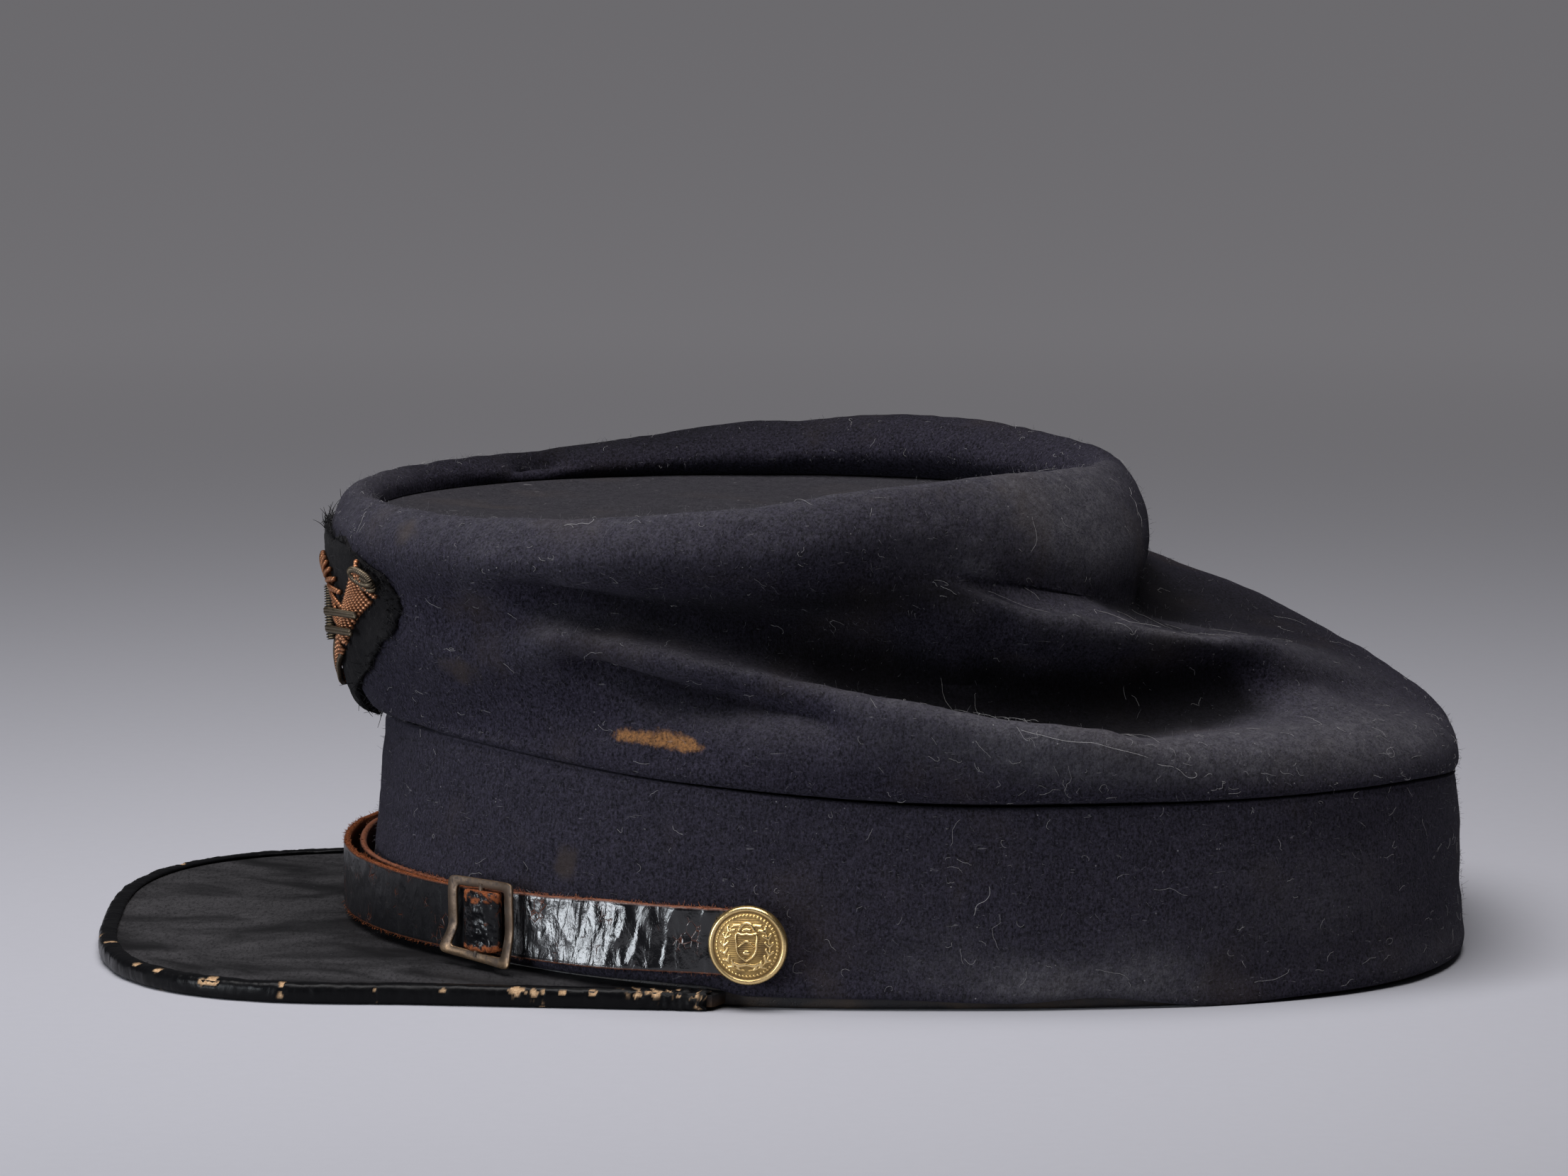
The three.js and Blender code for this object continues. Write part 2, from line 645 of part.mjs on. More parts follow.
function badgePatch() {
  const rows = 14;
  const steps = 16;
  const last = PATCH.halfWidths.length - 1;
  const sections = [];
  for (let j = 0; j <= rows; j++) {
    const height = THREE.MathUtils.lerp(PATCH.low, PATCH.high, j / rows);
    const place = (j / rows) * last;
    const lower = Math.min(Math.floor(place), last - 1);
    const [below, above] = [PATCH.halfWidths[lower], PATCH.halfWidths[lower + 1]];
    const halfWidth = THREE.MathUtils.lerp(below, above, place - lower);
    const line = (proud, padded) =>
      Array.from({ length: steps + 1 }, (_, i) => {
        const across = halfWidth * ((2 * i) / steps - 1);
        return frontPoint(across, height, proud + padded * padding(across, height));
      });
    sections.push([...line(BADGE.clearance + BADGE.thick, 1), ...line(BADGE.clearance, 0).reverse()]);
  }
  return loft(sections, sheetCap(2 * steps + 2));
}

// A padded, embroidered form along a line of { across, height, wide, deep } stops, lying over what
// is under it.
function embroidered(stops, base) {
  const steps = (stops.length - 1) * 4;
  const sides = 8;
  const curve = new THREE.CatmullRomCurve3(stops.map((s) => new THREE.Vector3(s.across, s.height, 0)));
  const sizes = new THREE.CatmullRomCurve3(stops.map((s) => new THREE.Vector3(s.wide, s.deep, 0)));
  const sections = [];
  for (let i = 0; i <= steps; i++) {
    const share = i / steps;
    const at = curve.getPoint(share);
    const along = curve.getTangent(share);
    const size = sizes.getPoint(share);
    const loop = [];
    for (let k = 0; k < sides; k++) {
      const turn = ((k + 0.5) / sides) * 2 * Math.PI;
      const sideways = size.x * Math.cos(turn);
      const [across, height] = [at.x - along.y * sideways, at.y + along.x * sideways];
      loop.push(frontPoint(across, height, base + size.y * (1 + Math.sin(turn)) + padding(across, height)));
    }
    sections.push(loop);
  }
  return loft(sections, sheetCap(sides));
}

const ON_PATCH = BADGE.clearance + BADGE.thick + GAP;
const HORN = [
  { across: 37, height: 77, wide: 5.2, deep: 0.8 },
  { across: 32, height: 73.4, wide: 4.2, deep: 0.9 },
  { across: 26, height: 68.8, wide: 3.2, deep: 0.9 },
  { across: 17, height: 63.6, wide: 2.6, deep: 0.8 },
  { across: 8, height: 57.5, wide: 2.1, deep: 0.7 },
  { across: 1, height: 52, wide: 1.7, deep: 0.65 },
  { across: -7, height: 51.5, wide: 1.5, deep: 0.6 },
  { across: -16, height: 56, wide: 1.4, deep: 0.6 },
  { across: -24, height: 64, wide: 1.3, deep: 0.6 },
  { across: -28, height: 73.5, wide: 1.6, deep: 0.6 },
];
const CORD = [
  { across: 13.5, height: 68.3, wide: 3.6, deep: 0.7 },
  { across: 13, height: 72, wide: 3.8, deep: 0.8 },
  { across: 9.5, height: 75.4, wide: 2.6, deep: 0.8 },
  { across: 3, height: 77, wide: 1.8, deep: 0.7 },
  { across: -5, height: 75.6, wide: 1.9, deep: 0.7 },
  { across: -12, height: 70, wide: 1.9, deep: 0.7 },
  { across: -16, height: 63, wide: 1.6, deep: 0.7 },
];
const BAR = [
  { across: 0, height: 60.5, wide: 1.5, deep: 0.6 },
  { across: 0, height: 65.5, wide: 1.5, deep: 0.65 },
  { across: 0, height: 71, wide: 1.5, deep: 0.6 },
];

// ---- The cap ----
const wool = { color: 0x23222d, roughness: 0.95, metalness: 0 };
const leather = { color: 0x121214, roughness: 0.45, metalness: 0 };
const sweatLeather = { color: 0x16181f, roughness: 0.6, metalness: 0 };
const tarnished = { color: 0x5b4a3a, roughness: 0.5, metalness: 0.9 };
const gilt = { color: 0xb08a3c, roughness: 0.4, metalness: 1 };
const velvet = { color: 0x0f1014, roughness: 1, metalness: 0 };
const copperWire = { color: 0x9a5a33, roughness: 0.5, metalness: 0.8 };
const silverWire = { color: 0x5e5e62, roughness: 0.5, metalness: 0.8 };

const cap = new THREE.Group();

function add(name, geometry, material) {
  const mesh = new THREE.Mesh(geometry, new THREE.MeshStandardMaterial(material));
  mesh.name = name;
  cap.add(mesh);
  return mesh;
}

add("crown_side", crownSide(), wool);
add("crown_top", crownTop(), wool);
add("hat_band", drilled(hatBand(), [1, -1]), wool);
add("sweatband", sweatband(), sweatLeather);
add("peak", peak(), leather);
add("peak_binding", peakBinding(), leather);
add("strap_under", drilled(strapUnder(), [1, -1]), leather);
add("strap_front", drilled(strapFront(), [-1]), leather);

const buckle = add("strap_buckle", strapBuckle(), tarnished);
standOnBand(buckle, BUCKLE.angle, between(STRAP_RUN, BUCKLE.angle, "low") + STRAP.width / 2, buckleOff());

// The left button sits on one layer of strap, the right button on two.
for (const [name, side, layer] of [["button_left", 1, "under"], ["button_right", -1, "front"]]) {
  const off = between(STRAP_RUN, side * BUTTON.angle, layer) + STRAP.thick + GAP;
  const mesh = add(name, button(off + BAND.thick), gilt);
  standOnBand(mesh, side * BUTTON.angle, BUTTON.height, off);
}

add("badge_patch", badgePatch(), velvet);
add("badge_horn", embroidered(HORN, ON_PATCH), copperWire);
add("badge_cord", embroidered(CORD, ON_PATCH), copperWire);
add("badge_bar", embroidered(BAR, ON_PATCH), silverWire);

// The origin is the middle of the whole cap's length and width, on the table.
cap.updateMatrixWorld(true);
const extent = new THREE.Box3().setFromObject(cap, true);
const middle = extent.getCenter(new THREE.Vector3());
cap.position.set(-middle.x, -middle.y, -extent.min.z);

export default cap;
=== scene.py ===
"""Looks for a wool forage cap (kepi) lying on a table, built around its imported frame.

Inside the classes lengths are millimetres in the cap's own frame: +Z up, the peak points to -X, the
wearer's left side faces -Y and the middle of the head opening is the origin. Angles run round the
cap in degrees, from 0 at the front by way of the left side at 90. Rings number the crown cloth from
its seam with the band, 0, to its edge on the disc, 9. Meshes are written in metres in the frame of
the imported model.
"""

import logging
import math
from dataclasses import dataclass, field
from enum import Enum
from typing import Callable, Union

import bpy
import numpy as np
from bpy.types import Material, NodeSocket, Object
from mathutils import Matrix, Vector, noise


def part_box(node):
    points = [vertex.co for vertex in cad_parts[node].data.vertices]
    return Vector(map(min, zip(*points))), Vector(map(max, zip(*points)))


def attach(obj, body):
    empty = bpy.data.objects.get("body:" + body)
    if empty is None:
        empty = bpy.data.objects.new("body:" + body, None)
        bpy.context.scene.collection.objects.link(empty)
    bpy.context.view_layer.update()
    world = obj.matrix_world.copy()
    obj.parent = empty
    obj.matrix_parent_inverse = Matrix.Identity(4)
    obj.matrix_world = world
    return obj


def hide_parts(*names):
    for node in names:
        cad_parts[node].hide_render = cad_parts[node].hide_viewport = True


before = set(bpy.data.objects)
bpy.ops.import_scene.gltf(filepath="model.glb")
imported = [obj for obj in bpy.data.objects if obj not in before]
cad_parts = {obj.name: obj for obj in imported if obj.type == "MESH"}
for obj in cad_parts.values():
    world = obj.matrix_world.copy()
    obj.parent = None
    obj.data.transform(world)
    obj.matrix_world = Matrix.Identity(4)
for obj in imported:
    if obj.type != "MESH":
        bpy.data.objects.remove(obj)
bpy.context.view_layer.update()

LOG = logging.getLogger("kepi")
MM = 0.001
FULL_TURN = 360.0
GAP = 0.3  # Kept free between neighbouring pieces, in millimetres.
Array = np.ndarray
Pair = tuple[float, float]
Triple = tuple[float, float, float]
Line = tuple[Pair, ...]
Pieces = list[Object]


# ---- Measurements of the cap ----
@dataclass(frozen=True)
class Section:
    """The crown cloth in one direction round the cap: for each ring how far out, and how high."""

    seam: float
    belly: Pair
    shelf: Pair
    valley: Pair
    crest: Pair
    crease: Pair
    puff: Pair
    rim: Pair
    lip: Pair


@dataclass(frozen=True)
class Fold:
    """A fold along a spine of (angle, ring) points, pushed out or in, fading over its width."""

    spine: Line
    push: float
    width: float


@dataclass(frozen=True)
class HemStop:
    """How high the band's lower edge lies at an angle."""

    angle: float
    height: float


@dataclass(frozen=True)
class StrapStop:
    """How far the strap's two layers stand off the band at an angle, and how high they lie."""

    angle: float
    under: float
    front: float
    low: float


CROWN_SECTIONS = (
    Section(45.8, (110.5, 48), (108.5, 54), (100, 60), (99, 66), (81.5, 73), (80.5, 82),
            (75, 90), (70.5, 88.5)),
    Section(47.2, (102.5, 50), (101, 56), (96, 62), (95, 68), (80.5, 74.5), (81, 83),
            (75, 90), (70.5, 89.5)),
    Section(42.8, (91.5, 49.5), (87.5, 58.5), (88, 66), (82, 73), (80, 78.5), (82, 85),
            (76, 91.5), (70.5, 91)),
    Section(39.4, (86.8, 46), (86, 58), (71, 61.5), (71, 72.5), (76.5, 80), (82.5, 86.5),
            (76.5, 95.5), (70.5, 93)),
    Section(39.2, (94.5, 45), (92, 53.5), (72, 54.5), (78.5, 73), (76, 80), (82, 89),
            (76, 99.5), (70.5, 94.5)),
    Section(39.2, (107.5, 43.5), (104.5, 51), (92, 55), (93, 67.5), (80, 69.5), (85.5, 80.5),
            (76.5, 98.5), (70.5, 94)),
    Section(34.8, (106, 42), (105, 46.5), (109, 50.5), (93.5, 59.5), (75.5, 65), (84.5, 78.5),
            (77.5, 95.5), (70.5, 92.5)),
    Section(36.6, (107.5, 42), (105.5, 47.5), (102, 55), (89.5, 65.5), (86, 74), (85, 83),
            (76.5, 97), (66.5, 90.5)),
    Section(37, (94, 42), (92, 49), (80, 58), (80, 66.5), (80, 75), (83.5, 84), (76.5, 97), (64.5, 90)),
    Section(37.6, (87, 43), (85, 51), (75, 58.5), (75, 65), (77, 71.5), (82.5, 82),
            (76, 94), (65, 87.5)),
    Section(41, (92, 45), (90, 52.5), (84, 59.5), (83, 65.5), (79.5, 72.5), (82, 80.5),
            (76, 90), (68.5, 86.5)),
    Section(45, (102.5, 47), (101, 53), (96, 59), (95, 65), (80.5, 72), (81, 81),
            (75, 89.6), (70, 87.5)),
)
RING_MIDDLES = {
    "belly": 0, "shelf": -4, "valley": -14, "crest": -16,
    "crease": -34, "puff": -37, "rim": -38, "lip": -38,
}
LAST_RING = len(RING_MIDDLES) + 1

FOLDS = (
    Fold(((57, 4.7), (66, 4.1), (80, 3.6), (90, 3.25), (100, 3), (115, 2.9), (130, 3), (146, 3.25)),
         -4.5, 7),
    Fold(((52, 3.4), (62, 3.2), (70, 2.85), (77, 2.6), (85, 2.2), (93, 1.95), (102, 1.8), (114, 1.75)),
         2.4, 4.5),
    Fold(((54, 2.7), (60, 2.15), (70, 2), (77, 2)), -4.5, 4.8),
    Fold(((56, 5.4), (52, 4.6), (49, 3.6)), 1.6, 7),
    Fold(((152, 2.6), (154, 3.4)), 2, 6),
    Fold(((139, 6.1), (146, 5.8), (154, 5.6)), 1, 11),
    Fold(((128, 5.35), (133, 5.2), (140, 5.1)), 1.6, 8),
    Fold(((124, 4.5), (140, 4.4), (158, 4.4)), -2.5, 4.5),
    Fold(((120, 4), (134, 3.95), (150, 3.95)), 1.8, 4.5),
    Fold(((303, 7.8), (305, 8.1)), -3.2, 5.5),
)

HEM = (
    HemStop(0, 6), HemStop(30, 5.5), HemStop(54, 4.5), HemStop(62, 4.1), HemStop(68, 2.4),
    HemStop(82, 2.2), HemStop(101, 1.3), HemStop(111, 2.2), HemStop(125, 0), HemStop(138, 0.8),
    HemStop(165, 1.4), HemStop(200, 1), HemStop(235, 0.2), HemStop(265, 1.8), HemStop(292, 2.4),
    HemStop(298, 4.1), HemStop(306, 4.5), HemStop(330, 5.5), HemStop(360, 6),
)

STRAP_RUN = (
    StrapStop(-72, 0.5, 2.2, 6.6), StrapStop(-40, 0.7, 2.4, 6.8), StrapStop(0, 1.4, 4.6, 7),
    StrapStop(34, 0.6, 2.2, 7), StrapStop(55, 0.5, 2.2, 7.1), StrapStop(72, 0.5, 2.2, 6.6),
)


class Side(Enum):
    """The two sides of the cap, as the sign of the angle on each."""

    LEFT = 1
    RIGHT = -1


# ---- Curves and smooth noise ----
def smooth_step(low: float, high: float, x: Array) -> Array:
    """Eases from 0 at low to 1 at high. High may be below low, and then the step falls."""
    share = np.clip((np.asarray(x, float) - low) / (high - low), 0, 1)
    return share * share * (3 - 2 * share)


def closed_curve(rows: Array, angle: Array) -> Array:
    """Reads equally spaced rows round the cap smoothly at any angle.

    Args:
        rows: One row for each direction, with any further axes.
        angle: Angles in degrees.

    Returns:
        A row's worth of values for each angle.
    """
    count = len(rows)
    place = (np.asarray(angle, float) / FULL_TURN % 1) * count
    whole = np.floor(place).astype(int)
    t = (place - whole).reshape(*place.shape, *([1] * (rows.ndim - 1)))
    a, b, c, d = (rows[(whole + k) % count] for k in (-1, 0, 1, 2))
    m0, m1 = (c - a) / 2, (d - b) / 2
    rise = 3 * t**2 - 2 * t**3
    return b * (2 * t**3 - 3 * t**2 + 1) + m0 * (t**3 - 2 * t**2 + t) + c * rise + m1 * (t**3 - t**2)


def between(stops: tuple, angle: Array, key: str) -> Array:
    """Reads a table of stops at angles, eased from stop to stop.

    Args:
        stops: Rows that have an angle and the key.
        angle: Angles in degrees.
        key: The name of the column.

    Returns:
        The column's value at each angle.
    """
    at = np.array([s.angle for s in stops], float)
    value = np.array([getattr(s, key) for s in stops], float)
    angle = np.clip(np.asarray(angle, float), at[0], at[-1])
    i = np.clip(np.searchsorted(at, angle, side="right") - 1, 0, len(at) - 2)
    share = (angle - at[i]) / (at[i + 1] - at[i])
    return value[i] + (value[i + 1] - value[i]) * share * share * (3 - 2 * share)


def strap_at(angle: float, key: str) -> float:
    """Reads a column of the strap's table at one angle."""
    return between(STRAP_RUN, np.array([angle]), key)[0]


def smooth_line(points: Union[Line, Array], count: int) -> Array:
    """Draws an open smooth curve through points.

    Args:
        points: The points, with any number of coordinates.
        count: How many points the curve gets.

    Returns:
        The curve's points, evenly spaced by stop.
    """
    p = np.array(points, float)
    p = np.vstack([2 * p[0] - p[1], p, 2 * p[-1] - p[-2]])
    place = np.linspace(0, len(p) - 3, count)
    i = np.minimum(place.astype(int), len(p) - 4)
    t = (place - i)[:, None]
    a, b, c, d = p[i], p[i + 1], p[i + 2], p[i + 3]
    return b + 0.5 * t * (c - a + t * (2 * a - 5 * b + 4 * c - d + t * (3 * (b - c) + d - a)))


def distance_to_line(places: Array, line: Array) -> Array:
    """Measures how far places are from a line of straight stretches.

    Args:
        places: The places, one in each row.
        line: The line's points, one in each row.

    Returns:
        The shortest distance for each place.
    """
    nearest = np.full(len(places), np.inf)
    for a, b in zip(line[:-1], line[1:]):
        along = b - a
        share = np.clip((places - a) @ along / max(along @ along, 1e-12), 0, 1)
        gap = places - a - share[:, None] * along
        nearest = np.minimum(nearest, (gap * gap).sum(1))
    return np.sqrt(nearest)


def ripple(points: Array, size: float, octaves: int = 3, seed: float = 0.0) -> Array:
    """Reads smooth noise at points.

    Args:
        points: Points in millimetres.
        size: Size of the largest features, in millimetres.
        octaves: How many finer layers are added up.
        seed: Moves the noise, so that two readings differ.

    Returns:
        A value from about -1 to 1 for each point.
    """
    shifted = points.reshape(-1, 3) / size + np.array([17.3, 5.1, -9.7]) * (seed + 1)
    read = np.array([noise.fractal(Vector(p), 1.0, 2.0, octaves) for p in shifted.tolist()])
    return read.reshape(points.shape[:-1])


def hump(away: Array, width: float) -> Array:
    """Falls off smoothly from 1 where away is 0."""
    return np.exp(-((away / width) ** 2))


def full_circle(count: int) -> Array:
    """Spaces angles evenly round a circle, in radians."""
    return np.arange(count) / count * 2 * np.pi


def round_cap(count: int) -> Array:
    """Spaces angles evenly round the cap, in degrees."""
    return np.arange(count) / count * FULL_TURN


def evened(points: Array, rounds: int) -> Array:
    """Averages a grid of points, wrapped round its first axis, with its neighbours.

    Args:
        points: The grid, by column and row.
        rounds: How many times it is averaged.

    Returns:
        The smoother grid.
    """
    for _ in range(rounds):
        points = points * 0.5 + (np.roll(points, 1, 0) + np.roll(points, -1, 0)) * 0.25
        ends = np.concatenate([points[:, :1], points, points[:, -1:]], axis=1)
        points = points * 0.5 + (ends[:, 2:] + ends[:, :-2]) * 0.25
    return points


def unit(vectors: Array) -> Array:
    """Scales vectors to length 1 along their last axis."""
    return vectors / np.maximum(np.linalg.norm(vectors, axis=-1, keepdims=True), 1e-9)


# ---- Where the surfaces lie ----
@dataclass
class CapForm:
    """The shape of the cap: the oval of its band and the slumped cloth of its crown."""

    hem_front: float = 110
    hem_back: float = 108
    hem_width: float = 86.5
    seam_length: float = 106
    seam_width: float = 84.5
    front_squareness: float = 2.2
    back_squareness: float = 2.8
    disc_middle: float = -38
    disc_radius: float = 69.4
    disc_level: float = 86
    disc_lean: float = 0.04
    disc_rise: float = 0.005
    tension: float = 0.16
    degree_length: float = 1.35
    ring_length: float = 10

    def __post_init__(self) -> None:
        """Lays the tables out as arrays."""
        self.seams = np.array([s.seam for s in CROWN_SECTIONS], float)
        stops = [[getattr(s, ring) for ring in RING_MIDDLES] for s in CROWN_SECTIONS]
        self.stops = np.array(stops, float)
        self.middles = np.array(list(RING_MIDDLES.values()), float)
        self.spines = [
            smooth_line(np.array(f.spine) * (self.degree_length, self.ring_length), 40) for f in FOLDS
        ]

    def seam_height(self, angle: Array) -> Array:
        """Reads how high the seam between band and crown runs at angles."""
        return closed_curve(self.seams, angle)

    def band_radius(self, angle: Array, height: Array) -> Array:
        """Measures how far the band's outside is from the middle of the head opening.

        Args:
            angle: Angles in degrees.
            height: Heights above the table.

        Returns:
            The distance at each angle and height.
        """
        turn = np.radians(angle)
        up = np.clip(height / self.seam_height(angle), 0, 1)
        hem = np.where(np.cos(turn) > 0, self.hem_front, self.hem_back)
        length = hem + (self.seam_length - hem) * up
        width = self.hem_width + (self.seam_width - self.hem_width) * up
        share = (1 - np.cos(turn)) / 2
        n = self.front_squareness + (self.back_squareness - self.front_squareness) * share
        return (np.abs(np.cos(turn) / length) ** n + np.abs(np.sin(turn) / width) ** n) ** (-1 / n)

    @staticmethod
    def polar(angle: Array, out: Array, height: Array, middle: float = 0) -> Array:
        """Turns angles and distances into points.

        Args:
            angle: Angles in degrees.
            out: Distances from the middle.
            height: Heights above the table.
            middle: Where the middle is on the X axis.

        Returns:
            A point for each.
        """
        turn = np.radians(angle)
        x, y = middle - out * np.cos(turn), -out * np.sin(turn)
        return np.stack(np.broadcast_arrays(x, y, height), -1)

    def band_frame(self, angle: Array, height: Array) -> tuple[Array, Array]:
        """Finds points on the band's outside and the level directions square to it.

        Args:
            angle: Angles in degrees.
            height: Heights above the table.

        Returns:
            The points, and a unit vector pointing out of the band for each.
        """
        angle, height = np.broadcast_arrays(np.asarray(angle, float), np.asarray(height, float))
        here = self.polar(angle, self.band_radius(angle, height), height)
        ahead = self.polar(angle + 0.5, self.band_radius(angle + 0.5, height), height)
        behind = self.polar(angle - 0.5, self.band_radius(angle - 0.5, height), height)
        along = unit(ahead - behind)
        out = np.stack([along[..., 1], -along[..., 0], np.zeros_like(along[..., 0])], -1)
        return here, out

    def off_band(self, angle: Array, height: Array, off: Array) -> Array:
        """Finds points at a distance off the band's outside, measured square to it."""
        here, out = self.band_frame(angle, height)
        return here + out * np.asarray(off, float)[..., None]

    def disc_top(self, x: Array, y: Array) -> Array:
        """Reads how high the top of the stiff disc lies."""
        return self.disc_level + self.disc_rise * (x - self.disc_middle) - self.disc_lean * y

    def smooth_crown(self, angle: Array, ring: Array) -> Array:
        """Finds points of the crown cloth before its single folds are laid in.

        Args:
            angle: Angles in degrees, in one row.
            ring: Ring numbers, as many.

        Returns:
            A point for each pair.
        """
        seam = self.seam_height(angle)
        rows = [self.polar(angle, self.band_radius(angle, seam) + 0.6, seam + GAP)]
        stops = closed_curve(self.stops, angle)
        for k, middle in enumerate(self.middles):
            rows.append(self.polar(angle, stops[:, k, 0], stops[:, k, 1], middle))
        edge = self.polar(angle, self.disc_radius + GAP, 0.0, self.disc_middle)
        edge[:, 2] = self.disc_top(edge[:, 0], edge[:, 1])
        rows.append(edge)
        p = np.array(rows)
        controls = p.copy()
        controls[1:-1] += self.tension * (2 * p[1:-1] - p[:-2] - p[2:])
        before, after = 2 * controls[:1] - controls[1:2], 2 * controls[-1:] - controls[-2:-1]
        controls = np.concatenate([before, controls, after])
        whole = np.clip(np.floor(ring).astype(int), 0, LAST_RING - 1)
        t = (ring - whole)[:, None]
        weights = ((1 - t) ** 3, 3 * t**3 - 6 * t**2 + 4, -3 * t**3 + 3 * t**2 + 3 * t + 1, t**3)
        each = np.arange(len(angle))
        return sum(w * controls[whole + k, each] for k, w in enumerate(weights)) / 6

    def square_to(
        self, surface: Callable[[Array, Array], Array], angle: Array, ring: Array
    ) -> Array:
        """Finds the directions that point out of a surface of the crown.

        Args:
            surface: Gives points for angles and rings.
            angle: Angles in degrees.
            ring: Ring numbers.

        Returns:
            A unit vector for each pair.
        """
        across = surface(angle + 0.4, ring) - surface(angle - 0.4, ring)
        above, below = np.minimum(ring + 0.04, LAST_RING), np.maximum(ring - 0.04, 0)
        return unit(np.cross(across, surface(angle, above) - surface(angle, below)))

    def fold_push(self, angle: Array, ring: Array) -> Array:
        """Adds up how far the single folds push the cloth out.

        Args:
            angle: Angles in degrees, in one row.
            ring: Ring numbers, as many.

        Returns:
            The push at each pair, in millimetres.
        """
        push = np.zeros(len(angle))
        for fold, spine in zip(FOLDS, self.spines):
            middle = spine[:, 0].mean() / self.degree_length
            turned = (angle - middle + FULL_TURN / 2) % FULL_TURN + middle - FULL_TURN / 2
            places = np.stack([turned * self.degree_length, ring * self.ring_length], -1)
            half = np.ptp(spine[:, 0]) / 2 / self.degree_length
            reach = np.abs(turned - middle) < half + 3 * fold.width
            if reach.any():
                gap = distance_to_line(places[reach], spine)
                push[reach] += fold.push * hump(gap, fold.width)
        return push

    def crown(self, angle: Array, ring: Array) -> Array:
        """Finds points of the crown cloth, folds included.

        Args:
            angle: Angles in degrees.
            ring: Ring numbers, of the same shape.

        Returns:
            A point for each pair, in the same shape with a last axis for x, y and z.
        """
        flat_angle, flat_ring = np.ravel(angle).astype(float), np.ravel(ring).astype(float)
        place = self.smooth_crown(flat_angle, flat_ring)
        push = self.fold_push(flat_angle, flat_ring)
        bent = np.abs(push) > 1e-3
        if bent.any():
            out = self.square_to(self.smooth_crown, flat_angle[bent], flat_ring[bent])
            place[bent] += out * push[bent, None]
        return place.reshape(*np.shape(angle), 3)


# ---- Closed bodies ----
@dataclass
class Body:
    """A closed mesh in millimetres, with the values that vary from point to point over it."""

    points: Array
    quads: Array
    caps: list[list[int]] = field(default_factory=list)
    tints: dict[str, Array] = field(default_factory=dict)

    def __add__(self, other: "Body") -> "Body":
        """Puts two bodies into one mesh.

        Args:
            other: The body that is added.

        Returns:
            Both. A value that one of them lacks is 0 there.
        """
        count = len(self.points)
        tints = {}
        for key in {**self.tints, **other.tints}:
            parts = [b.tints.get(key, np.zeros(len(b.points))) for b in (self, other)]
            tints[key] = np.concatenate(parts)
        return Body(
            np.concatenate([self.points, other.points]),
            np.concatenate([self.quads, other.quads + count]),
            self.caps + [[i + count for i in cap] for cap in other.caps],
            tints,
        )

    def volume(self) -> float:
        """Adds up the space inside.

        Returns:
            The volume, below 0 if the faces point inward.
        """
        p, q = self.points, self.quads
        a, b, c, d = (p[q[:, k]] for k in range(4))
        total = (a * np.cross(b, c)).sum() + (a * np.cross(c, d)).sum()
        for cap in self.caps:
            for i in range(1, len(cap) - 1):
                total += p[cap[0]] @ np.cross(p[cap[i]], p[cap[i + 1]])
        return total / 6

    def facing_out(self) -> "Body":
        """Turns the faces round if they point inward."""
        if self.volume() < 0:
            self.quads = self.quads[:, ::-1]
            self.caps = [cap[::-1] for cap in self.caps]
        return self

    def tinted(self, **values: Union[float, Array]) -> "Body":
        """Sets values over the whole body or point by point."""
        for key, value in values.items():
            self.tints[key] = np.broadcast_to(np.asarray(value, float), (len(self.points),)).copy()
        return self

    def to_object(self, name: str, material: Material, sharp: float = 0) -> Object:
        """Writes the body as a Blender object in metres.

        Args:
            name: Name of the object.
            material: Its material.
            sharp: Edges that turn by more degrees than this stay sharp. 0 leaves all smooth.

        Returns:
            The object, linked to the scene.
        """
        mesh = bpy.data.meshes.new(name)
        metres = (self.points + CAP_ORIGIN) * MM
        mesh.from_pydata(metres.tolist(), [], self.quads.tolist() + self.caps)
        mesh.shade_smooth()
        if sharp:
            mesh.set_sharp_from_angle(angle=math.radians(sharp))
        for key, values in self.tints.items():
            layer = mesh.attributes.new(key, "FLOAT", "POINT")
            layer.data.foreach_set("value", values.astype(np.float32))
        mesh.materials.append(material)
        made = bpy.data.objects.new(name, mesh)
        bpy.context.scene.collection.objects.link(made)
        return made


def find_origin(form: CapForm) -> Array:
    """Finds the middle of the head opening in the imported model's frame, from the disc's box.

    Args:
        form: The cap's shape.

    Returns:
        The place, in millimetres.
    """
    low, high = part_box("crown_top")
    middle = (low + high) / 2 / MM
    return np.array([middle.x - form.disc_middle, middle.y, 0.0])


CAP_ORIGIN = find_origin(CapForm())


class Ends(Enum):
    """How a loft's first and last sections are closed."""

    RING = "joined to each other"
    FLAT = "one face each"
    SHEET = "a strip of faces between the two faces of a sheet"


def between_loops(here: Array, ahead: Array) -> Array:
    """Joins closed loops of points, along the last axis, with faces."""
    corners = [here, ahead, np.roll(ahead, -1, axis=-1), np.roll(here, -1, axis=-1)]
    return np.stack(corners, -1).reshape(-1, 4)


